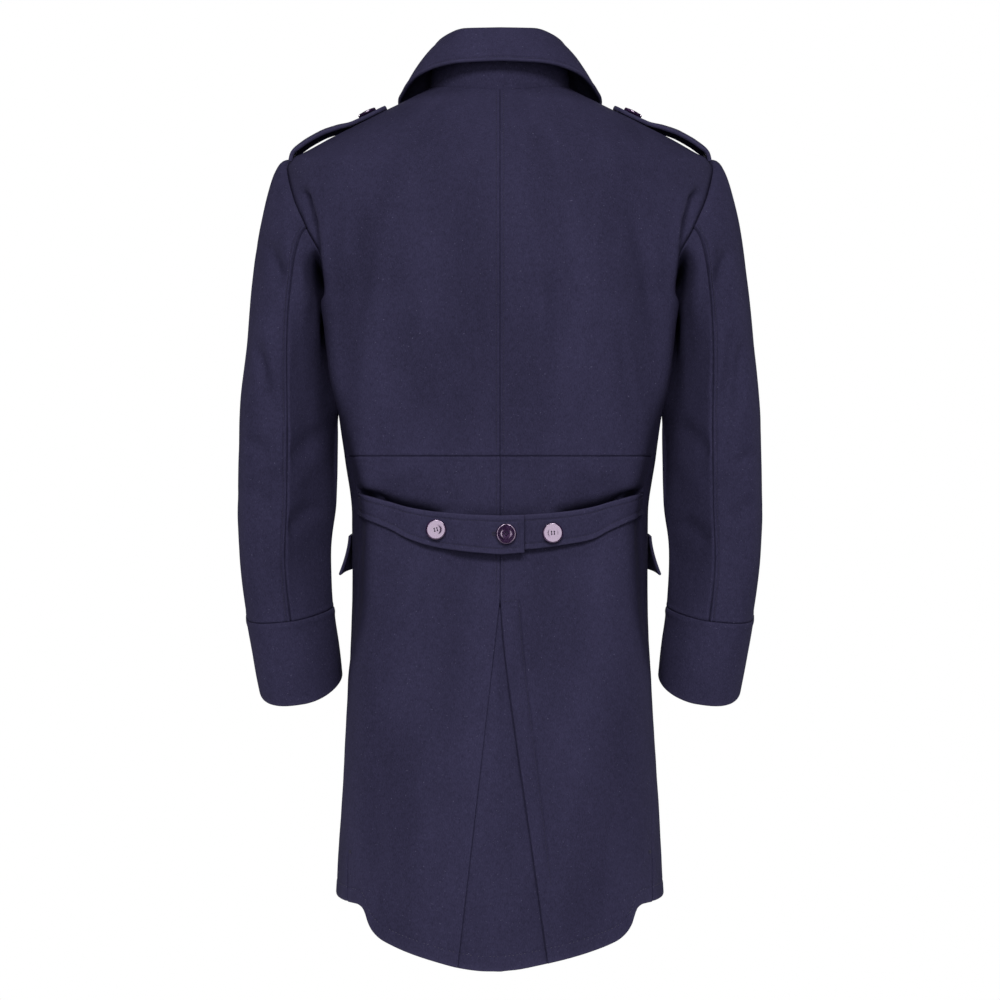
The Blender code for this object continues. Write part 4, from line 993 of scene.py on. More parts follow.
# Skirt back: rows from the hem up to the waist seam, columns from the pleat fold
# to the side seam.
SKIRT_STEP = 4.0
rows_down = spread(WAIST_SEAM - FRONT_HEM, SKIRT_STEP, HEM_EDGE, EDGE)[0] / (WAIST_SEAM - FRONT_HEM)
PLEAT_ROW = 19.5 / 205.0     # where the row beside the right fold lies in the panel's width
FOLD_EDGE = EDGE + (13.6, 17.4, 21.2, 24.0) + tuple(np.arange(25.6, 44.5, 1.35))
across = spread(205.0, SKIRT_STEP, FOLD_EDGE, EDGE)[0] / 205.0


def slit_open(z):
    """How far a panel's edge draws back at the slit in the side seam."""
    return 0.12 * smoothstep((SLIT_TOP - z) / 10.0)


for side_name, side in SIDES:
    def skirt_angle(z, u, fold=side_name):
        x = np.where(z < PLEAT_TOP, PLEAT_AT[fold](z), SEAM / 2)
        a0 = body_angle(x, z)
        a1 = side_edge(z, True) - np.degrees(slit_open(z) / 180.0)
        return a0 + (a1 - a0) * u

    hem = np.full(across.shape, FRONT_HEM)
    for _ in range(14):
        hem = BACK_HEM_AT[side_name](body(skirt_angle(hem, across), hem)[..., 0])
    z = (WAIST_SEAM - SEAM / 2) + (hem - WAIST_SEAM + SEAM / 2)[None, :] * (1 - rows_down[:, None])
    u = np.broadcast_to(across[None, :], z.shape)
    a = skirt_angle(z, u)
    p = body(a, z)
    n = body_frame(a, z)[2]
    first, last, left, right = edge_distances(p)
    soft = body_soft(p, side) * smoothstep(np.minimum(right, 200.0) / 9.0 + 0.1)
    pleat = smoothstep((PLEAT_TOP - z) / 25.0)
    soft = (soft + seam(last, 1.1, 0.9) + seam(left, 0.42, 0.8, 0.22, 2.2, 1.4) * (1 - pleat)
            + 0.8 * np.exp(-(right / 5.0) ** 2) * smoothstep((SLIT_TOP - z) / 10.0))
    sewn = smoothstep((PLEAT_TOP + 4.0 - z) / 4.0) * smoothstep((z + 890.0) / 110.0) * (side < 0)
    fine = (groove(first, HEM_TURN, 1.1, 0.45) + 0.35 * smoothstep((HEM_TURN - first) / 4.0)
            + groove(left, 4.2, 0.9, 0.45) * (1 - pleat)
            + groove(left, PLEAT_ROW * (left + right), 1.4, 2.0) * sewn
            + (1.5 if side < 0 else 0.2) * pleat * np.exp(-(left / 7.0) ** 2)
            + groove(right, 0.0, 1.3, 0.1))
    wall = WALL + 1.8 * smoothstep((HEM_TURN + 1.0 - first) / 3.0)
    Cloth("skirt_back_" + side_name, p, n, soft, fine, wall=wall, side=side, material=WOOL,
          rims=(1.6, 1.2, 2.1 if side < 0 else 0.8, 1.1), wear=edge_wear(first))

# Pleat underlay: a long wedge behind the two folds.
t = spread(400.0, SKIRT_STEP, HEM_EDGE, PLAIN_EDGE)[0] / 400.0
u = spread(130.0, SKIRT_STEP, PLAIN_EDGE, PLAIN_EDGE)[0] / 130.0


def underlay_x(z, u):
    return (-(PLEAT_AT["right"](z) + PLEAT_TUCK) * (1 - u) + (PLEAT_AT["left"](z) + PLEAT_TUCK) * u)


hem = np.full(u.shape, -955.0)
for _ in range(8):
    x = underlay_x(hem, u)
    hem = np.where(x > 0, BACK_HEM_AT["left"](np.abs(x)), BACK_HEM_AT["right"](np.abs(x))) - 0.5 + 2.2 * np.exp(-(x / 15.0) ** 2)
z = (PLEAT_TOP - 6.0) + (hem - PLEAT_TOP + 6.0)[None, :] * (1 - t[:, None])
x = underlay_x(z, np.broadcast_to(u[None, :], z.shape))
a = body_angle(x, z)
p = body(a, z)
n = body_frame(a, z)[2]
first, last, left, right = edge_distances(p)
soft = (body_soft(p, 1.0) - (PLEAT_RECESS + 0.5) + 1.4 * smoothstep((x + 4.0) / 10.0) * smoothstep((z + 790.0) / 140.0)
        - 1.8 * smoothstep((4.0 - x) / 12.0))
fine = groove(first, HEM_TURN, 1.1, 0.45) + 0.35 * smoothstep((HEM_TURN - first) / 4.0)
wall = WALL + 1.8 * smoothstep((HEM_TURN + 1.0 - first) / 3.0)
Cloth("pleat_underlay", p, n, soft, fine, wall=wall, material=WOOL, wear=edge_wear(first))

# Fronts: rows from the hem up to the neck, columns from the side seam, armhole
# and shoulder seam to the edge that laps past the centre front.
FRONT_STEP = 6.0
reference = stations_along(lambda s: body(np.full(s.shape, 140.0), s), FRONT_HEM, NECK, FRONT_STEP, HEM_EDGE, EDGE)
for side_name, side in SIDES:
    s = reference
    lap = LAP * np.minimum(1.0, BODY_AT["half_width"](s) / 120.0)
    draw = np.degrees(np.where(s < SLIT_TOP + 20.0, slit_open(s), 0.0) / 180.0)
    u = rows_of(body, s, side_edge(s, False) + draw, body_angle(-lap, s, True), FRONT_STEP)
    ss = np.broadcast_to(s[:, None], u.shape)
    p = body(u, ss)
    n = body_frame(u, ss)[2]
    first, last, left, right = edge_distances(p)
    soft = body_soft(p, side) * smoothstep(np.minimum(left, last) / 9.0 + 0.1)
    soft = soft + groove(left, 0.0, 3.4, 6.5 * smoothstep((SLIT_TOP - ss) / 10.0))
    if side > 0:
        soft = soft * smoothstep((p[..., 0] - 20.0) / 40.0 + 0.25)
        soft = soft + LAP_RISE * smoothstep((58.0 - p[..., 0]) / 18.0)
    else:
        soft = soft * smoothstep((p[..., 0] - 30.0) / 40.0)
    fine = (groove(first, HEM_TURN, 1.1, 0.45) + 0.35 * smoothstep((HEM_TURN - first) / 4.0)
            + groove(right, 6.5, 0.9, 0.35) + groove(left, 0.0, 2.2, 0.4)
            + groove(last, 0.0, 2.2, 0.4))
    wall = WALL + 1.8 * smoothstep((HEM_TURN + 1.0 - first) / 3.0) * smoothstep((right - 12.0) / 30.0)
    Cloth("front_" + side_name, p, n, soft, fine, wall=wall, side=side, material=WOOL,
          rims=(1.3, 1.0, 1.1, 1.2), wear=edge_wear(first, right))

# Sleeves: upper and under piece to the cuff seam, then the cuff as a band.
ARM_STEP = 3.6
SLEEVE_PIECES = (("upper_sleeve_", FRONT_SLEEVE_SEAM, BACK_SLEEVE_SEAM, 0.0),
                 ("under_sleeve_", BACK_SLEEVE_SEAM, FRONT_SLEEVE_SEAM + 360.0, 170.0))


def arm_soft(p, side):
    """Creases of a sleeve, back and front, and its slow waviness."""
    x, z = p[..., 0], p[..., 2]
    mid_y = np.interp(-z, (60.0, 290.0, 447.0, 575.0, 657.0), (0.0, 0.0, -8.0, -33.0, -55.0))
    c = (p[..., 1] - mid_y) / 60.0
    back, front = smoothstep((c + 0.25) / 0.6), smoothstep((0.25 - c) / 0.6)
    total = CREASED * creases(x, z, LEFT_ARM_BACK if side > 0 else RIGHT_ARM_BACK) * back
    total += CREASED * creases(x, z, ARM_FRONT) * front
    total += creases(x, z, ARM_INSIDE)
    mirrored = p * (side, 1.0, 1.0)
    total += ripple(mirrored, 21, 70.0, 0.5) + ripple(mirrored, 22, 26.0, 0.16)
    return total


for side_name, side in SIDES:
    for piece, first_angle, last_angle, line in SLEEVE_PIECES:
        t = stations_along(lambda v: sleeve(np.full(v.shape, line), v), 0.0, 5.004, ARM_STEP)
        u = rows_of(sleeve, t, first_angle - 0.12, last_angle + 0.12, ARM_STEP)
        tt = np.broadcast_to(t[:, None], u.shape)
        p = sleeve(u, tt)
        n = outward(p, grid_normals(p))
        first, last, left, right = edge_distances(p)
        p = p + armhole_sink(p, first, 26.0) + arm_roll(p, first)
        seam_side = right if piece.startswith("upper") else left
        soft = arm_soft(p, side) * smoothstep(np.minimum.reduce((first, last, left, right)) / 8.0 + 0.15)
        soft = soft + seam(last, 1.3) + seam(seam_side, 2.7, 1.35, 0.9 if piece.startswith("upper") else 0.0, 2.9, 1.6)
        fine = groove(first, 0.0, 2.2, 0.5)
        if piece.startswith("upper"):
            fine = fine + groove(right, 5.4, 1.0, 1.15)
        Cloth(piece + side_name, p, n, soft, fine, side=side, material=WOOL, rims=(1.0, 1.0, 1.1, 1.1))
    t = stations_along(lambda v: sleeve(np.zeros(v.shape), v), 4.996, 7.0, ARM_STEP, EDGE, EDGE)
    around = np.linspace(0.0, 360.0, 116, endpoint=False)
    uu, tt = np.broadcast_arrays(around[None, :], t[:, None])
    p = sleeve(uu, tt)
    n = outward(p, grid_normals(p, tube=True))
    first, last, left, right = edge_distances(p, tube=True)
    soft = ripple(p * (side, 1.0, 1.0), 31, 60.0, 0.4) * smoothstep(np.minimum(first, 60.0) / 10.0)
    fine = CUFF_PROUD + 0.5 * np.exp(-((first - 4.5) / 3.0) ** 2)
    wall = WALL + CUFF_PROUD + 1.2 * smoothstep((40.0 - last) / 3.0)
    Cloth("cuff_" + side_name, p, n, soft, fine, wall=wall, side=side, tube=True, material=WOOL,
          rims=(1.4, 1.9, 0.0, 0.0), wear=edge_wear(last))

# Collar: stand and fall round the neck.
COLLAR_STEP = 3.6
around = stations_along(lambda a: collar(a, np.full(a.shape, 2.0)), -COLLAR_END, COLLAR_END, COLLAR_STEP)
for name, lo, hi, thick, rims in (("collar_stand", 0.0, 0.96, WALL, (1.1, 0.6, 1.1, 1.1)),
                                  ("collar_fall", 1.0, 3.0, FALL_WALL, (0.6, 1.95, 1.9, 1.9))):
    w = stations_along(lambda v: collar(np.full(v.shape, 20.0), v), lo, hi, 2.6, PLAIN_EDGE, EDGE)
    aa, ww = np.broadcast_arrays(around[None, :], w[:, None])
    p = collar(aa, ww)
    n = grid_normals(p)
    if np.mean(n[:, n.shape[1] // 2, 1]) < 0 and name == "collar_fall":
        n = -n
    if name == "collar_stand" and np.mean(n[:, n.shape[1] // 2, 1]) < 0:
        n = -n
    first, last, left, right = edge_distances(p)
    p = p + (thick / 2) * n
    if name == "collar_fall":
        soft = (ripple(p, 41, 70.0, 0.35) + ripple(p, 42, 28.0, 0.12)) * smoothstep(first / 12.0)
        fine = groove(last, 4.8, 1.2, 1.2) + 0.75 * np.exp(-((last - 1.8) / 2.0) ** 2)
        wear = edge_wear(last)
    else:
        soft, fine, wear = 0.0, groove(first, 0.0, 2.0, 0.4), None
    Cloth(name, p, n, soft, fine, wall=thick, material=WOOL, rims=rims, wear=wear)


# Half belt: the left piece passes over the right one.
def left_rise(x):
    return BELT_LAP_RISE * smoothstep((62.0 - x) / 26.0)


def no_rise(x):
    return np.zeros_like(np.asarray(x, float))


BELT_PIECES = (("half_belt_left", BELT_LEFT_END, BELT_SIDE_END, "low_left", left_rise),
               ("half_belt_right", -BELT_SIDE_END, BELT_RIGHT_END, "low_right", no_rise))
for name, lo, hi, low, rise in BELT_PIECES:
    xs = spread(hi - lo, 2.6, EDGE, EDGE)[0] + lo
    downs = spread(42.0, 2.2, EDGE, EDGE)[0] / 42.0
    xx, dd = np.broadcast_arrays(xs[None, :], downs[:, None])
    p = belt_point(xx, dd, rise(xx), low)
    n = grid_normals(p)
    if n[n.shape[0] // 2, n.shape[1] // 2, 1] < 0:
        n = -n
    first, last, left, right = edge_distances(p)
    near = np.minimum.reduce((first, last, left if lo == BELT_LEFT_END else right))
    pressed = smoothstep((np.abs(xx) - 85.0) / 40.0)
    stand = BELT_AT["stand_off"](np.abs(xx)) * (1 - 0.45 * dd ** 1.5)
    soft = -pressed * np.clip(stand - 0.3, 0.0, 4.0)
    fine = groove(near, 6.6, 1.1, 0.8) + ripple(p, 51, 40.0, 0.18) - 1.2 * pressed
    Cloth(name, p, n, soft, fine, wall=BELT_WALL - 1.2 * pressed, material=WOOL, rims=(1.9, 1.9, 1.9, 1.4),
          wear=edge_wear(first, last))

# Shoulder straps.
for side_name, side in SIDES:
    xs = stations_along(lambda v: strap_point(v, np.zeros(v.shape)), STRAP[-1][0], STRAP[0][0], 2.4)
    widths = spread(48.0, 2.2, EDGE, EDGE)[0] / 24.0 - 1.0
    xx, ww = np.broadcast_arrays(xs[:, None], widths[None, :])
    p = strap_point(xx, ww)
    n = grid_normals(p)
    if n[n.shape[0] // 2, n.shape[1] // 2, 2] < 0:
        n = -n
    first, last, left, right = edge_distances(p)
    near = np.minimum.reduce((first, left, right))
    fine = groove(near, 6.0, 1.0, 0.45)
    Cloth("shoulder_strap_" + side_name, p, n, 0.0, fine, wall=STRAP_WALL, side=side, material=WOOL,
          rims=(2.0, 1.2, 2.0, 2.0), wear=edge_wear(first, left, right))

# Pocket flaps.
for side_name, side in SIDES:
    angles = stations_along(lambda a: flap_point(a, np.zeros(a.shape)), FLAP[0][0], FLAP[-1][0], 2.6)
    downs = spread(45.0, 2.4, EDGE, EDGE)[0] / 45.0
    aa, dd = np.broadcast_arrays(angles[None, :], downs[:, None])
    p = flap_point(aa, dd)
    n = grid_normals(p)
    if n[n.shape[0] // 2, 2, 0] < 0:
        n = -n
    first, last, left, right = edge_distances(p)
    near = np.minimum.reduce((last, left, right))
    Cloth("pocket_flap_" + side_name, p, n, 0.0, groove(near, 6.0, 1.0, 0.4), wall=FLAP_WALL, side=side,
          material=WOOL, rims=(1.2, 1.7, 1.6, 1.6), wear=edge_wear(last, left, right))


# --------------------------------------------------------- stitches and thread
CAPSULE_RINGS = ((-0.5, 0.30, -0.9), (-0.40, 0.85, -0.2), (0.0, 1.0, 0.1), (0.40, 0.85, -0.2), (0.5, 0.30, -0.9))
CAPSULE_SIDES = 6


def stitch_mesh(points, along, normals, length, radius):
    """Vertices and faces of one short stitch at each point."""
    along = unit(along - np.sum(along * normals, -1, keepdims=True) * normals)
    across = np.cross(normals, along)
    rings = []
    for pos, wide, lift in CAPSULE_RINGS:
        for k in range(CAPSULE_SIDES):
            g = 2 * math.pi * k / CAPSULE_SIDES
            rings.append(points + along * (pos * length) + across * (wide * radius * math.cos(g))
                         + normals * (radius * (0.72 * wide * math.sin(g) + lift)))
    verts = np.stack(rings, axis=1)
    count = len(CAPSULE_RINGS) * CAPSULE_SIDES
    faces = []
    for r in range(len(CAPSULE_RINGS) - 1):
        for k in range(CAPSULE_SIDES):
            m = (k + 1) % CAPSULE_SIDES
            faces.append((r * CAPSULE_SIDES + k, r * CAPSULE_SIDES + m,
                          (r + 1) * CAPSULE_SIDES + m, (r + 1) * CAPSULE_SIDES + k))
    faces = np.array(faces)
    faces = (faces[None] + (np.arange(len(points)) * count)[:, None, None]).reshape(-1, 4)
    return verts.reshape(-1, 3), faces


class Threads:
    """Stitches gathered into one mesh."""

    def __init__(self, name, material):
        self.name, self.material, self.verts, self.faces, self.count = name, material, [], [], 0

    def add(self, verts, faces):
        self.verts.append(verts)
        self.faces.append(faces + self.count)
        self.count += len(verts)

    def row(self, line, pitch=3.1, length=2.3, radius=0.32, seed=1, skip=0.0):
        """A row of stitches along a line of points and normals."""
        p, n = line
        run = np.concatenate(((0.0,), np.cumsum(np.linalg.norm(np.diff(p, axis=0), axis=-1))))
        if run[-1] < 2 * pitch:
            return
        at = np.arange(pitch * 0.6, run[-1] - pitch * 0.6, pitch)
        rng = np.random.default_rng(seed)
        at = at + rng.normal(0.0, 0.08, at.shape)
        if skip > 0:
            at = at[rng.uniform(size=at.shape) > skip]

        def sample(grid, s):
            return np.stack([np.interp(s, run, grid[:, i]) for i in range(3)], -1)

        points, normals = sample(p, at), unit(sample(n, at))
        along = unit(sample(p, at + 0.4) - sample(p, at - 0.4))
        verts, faces = stitch_mesh(points + 0.10 * normals, along, normals, length, radius)
        self.add(verts, faces)

    def finish(self):
        if not self.verts:
            return None
        return mesh_object(self.name, np.concatenate(self.verts) * MM, np.concatenate(self.faces), self.material)


topstitch = Threads("topstitching", THREAD)
for side_name, side in SIDES:
    back, skirt = PIECES["upper_back_" + side_name], PIECES["skirt_back_" + side_name]
    topstitch.row(back.down_column(4.2, lo=3.0, hi=3.0), seed=3)
    seam_rows = skirt.down_column(4.2, lo=388.0 if side > 0 else 388.0, hi=3.0)
    topstitch.row(seam_rows, seed=4)
    topstitch.row(PIECES["upper_sleeve_" + side_name].down_column(5.4, True, lo=4.0, hi=2.0), seed=5)
    front = PIECES["front_" + side_name]
    topstitch.row(front.down_column(6.5, True, lo=6.0, hi=6.0), seed=6)
    strap = PIECES["shoulder_strap_" + side_name]
    topstitch.row(strap.down_column(6.0, lo=6.0, hi=1.0), seed=7)
    topstitch.row(strap.down_column(6.0, True, lo=6.0, hi=1.0), seed=8)
    topstitch.row(strap.along_row(6.0, lo=6.0, hi=6.0), seed=9)
    flap = PIECES["pocket_flap_" + side_name]
    topstitch.row(flap.down_column(6.0, lo=1.0, hi=6.0), seed=10)
    topstitch.row(flap.down_column(6.0, True, lo=1.0, hi=6.0), seed=11)
    topstitch.row(flap.along_row(6.0, True, lo=6.0, hi=6.0), seed=12)
skirt = PIECES["skirt_back_right"]
height = skirt.outer[:, 0, 2]
topstitch.row(skirt.down_share(PLEAT_ROW, (height < PLEAT_TOP) & (height > -868.0)), seed=17)
top_row = int(np.argmin(np.abs(height - PLEAT_TOP)))
share = skirt.left[top_row] / (skirt.left[top_row] + skirt.right[top_row])
shares = np.linspace(0.008, PLEAT_ROW, 30)
topstitch.row(skirt.at(np.full(30, top_row), np.interp(shares, share, np.arange(len(share)))), seed=18)
belt_left, belt_right = PIECES["half_belt_left"], PIECES["half_belt_right"]
for belt, free in ((belt_left, "left"), (belt_right, "right")):
    topstitch.row(belt.along_row(6.6, lo=6.6 if free == "left" else 1.0, hi=1.0 if free == "left" else 6.6), seed=13)
    topstitch.row(belt.along_row(6.6, True, lo=6.6 if free == "left" else 1.0, hi=1.0 if free == "left" else 6.6), seed=14)
    topstitch.row(belt.down_column(6.6, free == "right", lo=6.6, hi=6.6), seed=15)
topstitch.row(PIECES["collar_fall"].along_row(4.8, True, lo=5.0, hi=5.0), seed=19)
for side_name, side in SIDES:
    # a bar tack closes the top of each side slit
    skirt = PIECES["skirt_back_" + side_name]
    row = int(np.argmin(np.abs(skirt.outer[:, -1, 2] - SLIT_TOP - 3.0)))
    cols = np.interp(np.linspace(8.0, 0.6, 12), skirt.right[row][::-1], np.arange(skirt.outer.shape[1])[::-1])
    for step in (-0.35, 0.0, 0.35):
        topstitch.row(skirt.at(np.full(12, row + step), cols), pitch=2.0, length=2.2, radius=0.42, seed=20)
topstitching = topstitch.finish()

hem_thread = Threads("hem_stitching", HEM_THREAD)
for name in ("skirt_back_left", "skirt_back_right", "pleat_underlay", "front_left", "front_right"):
    hem_thread.row(PIECES[name].along_row(HEM_TURN, lo=4.0, hi=4.0), pitch=4.2, length=1.5, radius=0.26,
                   seed=16, skip=0.22)
hem_stitching = hem_thread.finish()


# -------------------------------------------------------------------- buttons
# Half section of a button: distance from its axis and height, as parts of the
# radius and thickness.
BUTTON_PROFILE = ((0.0, 0.932), (0.26, 0.932), (0.36, 0.934), (0.41, 0.938), (0.45, 0.944), (0.48, 0.950), (0.515, 0.956),
                  (0.56, 0.962), (0.63, 0.969), (0.74, 0.975), (0.85, 0.975), (0.90, 0.965), (0.94, 0.925), (0.97, 0.83),
                  (0.99, 0.68), (1.0, 0.50), (0.985, 0.30), (0.95, 0.14), (0.90, 0.03), (0.84, 0.0), (0.0, 0.0))
HOLE_RADIUS, HOLE_FROM_AXIS = 0.85, 2.1


def make_button_mesh():
    """Turned button with a raised rim and four holes."""
    scene = bpy.context.scene
    mesh = bpy.data.meshes.new("button_profile")
    pts = [(r * BUTTON_D / 2 * MM, 0.0, h * BUTTON_H * MM) for r, h in BUTTON_PROFILE]
    mesh.from_pydata(pts, [(i, i + 1) for i in range(len(pts) - 1)], [])
    disc = bpy.data.objects.new("button_profile", mesh)
    scene.collection.objects.link(disc)
    turn = disc.modifiers.new("turn", "SCREW")
    turn.axis, turn.steps, turn.render_steps = "Z", 64, 64
    turn.use_merge_vertices, turn.merge_threshold = True, 0.000002
    cutters = []
    for i in range(4):
        bpy.ops.mesh.primitive_cylinder_add(vertices=20, radius=HOLE_RADIUS * MM, depth=12 * MM)
        hole = bpy.context.object
        a = math.radians(45 + 90 * i)
        hole.location = (HOLE_FROM_AXIS * MM * math.cos(a), HOLE_FROM_AXIS * MM * math.sin(a), 0.0)
        cutters.append(hole)
        cut = disc.modifiers.new("hole_%d" % i, "BOOLEAN")
        cut.operation, cut.object = "DIFFERENCE", hole
    bpy.context.view_layer.update()
    graph = bpy.context.evaluated_depsgraph_get()
    whole = bpy.data.meshes.new_from_object(disc.evaluated_get(graph))
    for obj in [disc] + cutters:
        bpy.data.objects.remove(obj, do_unlink=True)
    whole.name = "button"
    whole.materials.clear()
    whole.materials.append(BUTTON)
    whole.polygons.foreach_set("use_smooth", np.ones(len(whole.polygons), bool))
    whole.set_sharp_from_angle(angle=math.radians(42.0))
    return whole


BUTTON_MESH = make_button_mesh()
button_thread = Threads("button_threads", THREAD)
holes_thread = Threads("buttonholes", THREAD)


def place_button(name, point, normal, turn=0.0, lean=0.0):
    """Button whose back lies just off the cloth at the point, sewn on with thread;
    it may lean a few degrees to the wearer's left."""
    z = Matrix.Rotation(-math.radians(lean), 3, "Z") @ Vector(normal).normalized()
    y = Vector((0.0, 0.0, 1.0))
    y = (y - y.dot(z) * z).normalized() if abs(z.z) < 0.9 else (Vector((0, 1, 0)) - z.y * z).normalized()
    x = y.cross(z)
    frame_of = Matrix((x, y, z)).transposed().to_4x4() @ Matrix.Rotation(turn, 4, "Z")
    place = Matrix.Translation((Vector(point) + z * 0.60) * MM) @ frame_of
    mesh = BUTTON_MESH.copy()
    mesh.transform(place)
    obj = bpy.data.objects.new(name, mesh)
    bpy.context.scene.collection.objects.link(obj)
    d = HOLE_FROM_AXIS * math.sqrt(0.5)
    top = 0.932 * BUTTON_H
    axes = np.array(frame_of.to_3x3())
    base = np.array(Vector(point) + z * 0.60)
    for sign in (-1.0, 1.0):
        for k in range(2):
            off = (k - 0.5) * 0.40
            local = np.array(((sign * d + off), 0.0, top + 0.18))
            verts, faces = stitch_mesh((base + axes @ local)[None], axes[:, 1][None], axes[:, 2][None], 2 * d + 1.2, 0.24)
            button_thread.add(verts, faces)
    return obj


def buttonhole(surface, centre, half_length, half_width=1.5, pitch=0.62):
    """Bound slit: a ring of close thread round a narrow opening.  surface(a, b)
    gives point and normal at a mm along and b mm across the hole."""
    straight, bend = 2 * half_length, math.pi * half_width
    total = 2 * straight + 2 * bend
    s = np.arange(0.0, total, pitch)
    a, b, da, db = np.zeros_like(s), np.zeros_like(s), np.zeros_like(s), np.zeros_like(s)
    for i, v in enumerate(s):
        if v < straight:
            a[i], b[i], da[i], db[i] = -half_length + v, half_width, 0.0, 1.0
        elif v < straight + bend:
            g = math.pi / 2 - (v - straight) / half_width
            a[i], b[i] = half_length + half_width * math.cos(g), half_width * math.sin(g)
            da[i], db[i] = math.cos(g), math.sin(g)
        elif v < 2 * straight + bend:
            a[i], b[i], da[i], db[i] = half_length - (v - straight - bend), -half_width, 0.0, -1.0
        else:
            g = -math.pi / 2 - (v - 2 * straight - bend) / half_width
            a[i], b[i] = -half_length + half_width * math.cos(g), half_width * math.sin(g)
            da[i], db[i] = math.cos(g), math.sin(g)
    p, n = surface(centre + a, b)
    q, _ = surface(centre + a + 0.3 * da, b + 0.3 * db)
    verts, faces = stitch_mesh(p + 0.12 * n, unit(q - p), n, 2.4, 0.40)
    holes_thread.add(verts, faces)


# turn of the holes, and how far the button leans to the wearer's left, degrees
BUTTON_TURNS = {"belt_button_left": (0.25, 1.8), "belt_button_middle": (0.7, 0.0), "belt_button_right": (0.05, -2.0)}
for name, x, z in BELT_BUTTONS:
    low, rise = ("low_right", no_rise) if x < BELT_LEFT_END else ("low_left", left_rise)
    top_z, low_z = float(BELT_AT["top"](abs(x))), float(BELT_AT[low](abs(x)))
    d = (z - top_z) / (low_z - top_z)

    def on_belt(a, b, d=d, low=low, rise=rise, tall=top_z - low_z):
        a, b = np.asarray(a, float), np.asarray(b, float)
        a, b = np.broadcast_arrays(a, b)
        point = belt_point(a, d - b / tall, rise(a), low)
        e = belt_point(a + 2.0, d - b / tall, rise(a + 2.0), low) - belt_point(a - 2.0, d - b / tall, rise(a - 2.0), low)
        f = belt_point(a, d - b / tall + 0.1, rise(a), low) - belt_point(a, d - b / tall - 0.1, rise(a), low)
        n = unit(np.cross(e, f))
        return point, np.where(n[..., 1:2] < 0, -n, n)

    wide = np.array((x - 8.0, x + 8.0))
    q = belt_point(wide, np.full(2, d), rise(np.full(2, x)), low, 0.0)
    r = belt_point(np.full(2, x), np.array((max(d - 0.2, 0), min(d + 0.2, 1))), rise(np.full(2, x)), low, 0.0)
    n = np.cross(q[1] - q[0], r[1] - r[0])
    n = n if n[1] > 0 else -n
    p = belt_point(np.array(x), np.array(d), rise(np.array(x)), low)
    place_button(name, p, n, *BUTTON_TURNS[name])
    if name == "belt_button_middle":
        buttonhole(on_belt, x + 2.0, 11.5)

for side_name, side in SIDES:
    p = strap_point(STRAP_BUTTON_X, 0.0)
    along = strap_point(STRAP_BUTTON_X + 6, 0.0) - strap_point(STRAP_BUTTON_X - 6, 0.0)
    n = np.cross(along, (0.0, 1.0, 0.0))
    n = n if n[2] > 0 else -n

    def on_strap(a, b, side=side):
        a, b = np.broadcast_arrays(np.asarray(a, float), np.asarray(b, float))
        wide = STRAP_AT["half_width"](a)
        point = strap_point(a, b / wide)
        e = strap_point(a + 1.5, b / wide) - strap_point(a - 1.5, b / wide)
        f = strap_point(a, (b + 1.0) / wide) - strap_point(a, (b - 1.0) / wide)
        n = unit(np.cross(e, f))
        n = np.where(n[..., 2:3] < 0, -n, n)
        return point * (side, 1, 1), n * (side, 1, 1)

    buttonhole(on_strap, STRAP_BUTTON_X + 2.0, 11.5)
    place_button("strap_button_" + side_name, (p[0] * side, p[1], p[2]), (n[0] * side, n[1], n[2]), 0.3 * side)

for i, z in enumerate(FRONT_BUTTON_HEIGHTS):
    s = z
    for _ in range(20):
        s += (z - float(body(180.0, s)[2])) * 0.7
    n = body_frame(np.array(180.0), np.array(s))[2]

    def on_front(a, b, s=s):
        a, b = np.broadcast_arrays(np.asarray(a, float), np.asarray(b, float))
        angle = body_angle(a, s + b, True)
        normal = body_frame(angle, s + b)[2]
        return body(angle, s + b) + (LAP_RISE + 0.1) * normal, normal

    buttonhole(on_front, 3.0, 11.5)
    place_button("front_button_%d" % (i + 1), body(180.0, s) + (LAP_RISE + 1.0) * n, n, 0.2 * i)

button_threads = button_thread.finish()
buttonholes = holes_thread.finish()

for name, piece in PIECES.items():
    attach(piece.object, "root")
    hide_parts(name)
    flat = (round(piece.width + 0.0005, 3), round(piece.length + 0.0005, 3))
    share = min(max(piece.area / (flat[0] * flat[1]), 0.3), 1.0)
BUTTON_NAMES = ([b[0] for b in BELT_BUTTONS] + ["strap_button_left", "strap_button_right"]
                + ["front_button_%d" % (i + 1) for i in range(len(FRONT_BUTTON_HEIGHTS))])
for name in BUTTON_NAMES:
    obj = [o for o in bpy.data.objects if o.type == "MESH" and o.data.name.startswith("button.")
           and o.name.split(".")[0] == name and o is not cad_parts[name]][0]
    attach(obj, "root")
    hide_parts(name)
for obj in (topstitching, hem_stitching, button_threads, buttonholes):
    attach(obj, "root")

# ---------------------------------------------------------- floor and lights
FLOOR = -1.45
FLOOR_RADIUS = 2.3
rim = np.linspace(0.0, 2 * np.pi, 128, endpoint=False)
floor_mesh = bpy.data.meshes.new("floor")
floor_mesh.from_pydata([(FLOOR_RADIUS * math.cos(g), FLOOR_RADIUS * math.sin(g), FLOOR) for g in rim], [], [tuple(range(len(rim)))])
floor = bpy.data.objects.new("floor", floor_mesh)
bpy.context.scene.collection.objects.link(floor)
pale, pale_nodes, pale_links, pale_shader = new_material("floor_pale")
grain = node(pale_nodes, "ShaderNodeTexNoise", Scale=3.0, Detail=2.0)
grain_tone = ramp(pale_nodes, ((0.3, 0.74), (0.7, 0.77)))
pale_links.new(grain.outputs["Fac"], grain_tone.inputs["Fac"])
pale_links.new(grain_tone.outputs["Color"], pale_shader.inputs["Base Color"])
pale_shader.inputs["Roughness"].default_value = 0.9
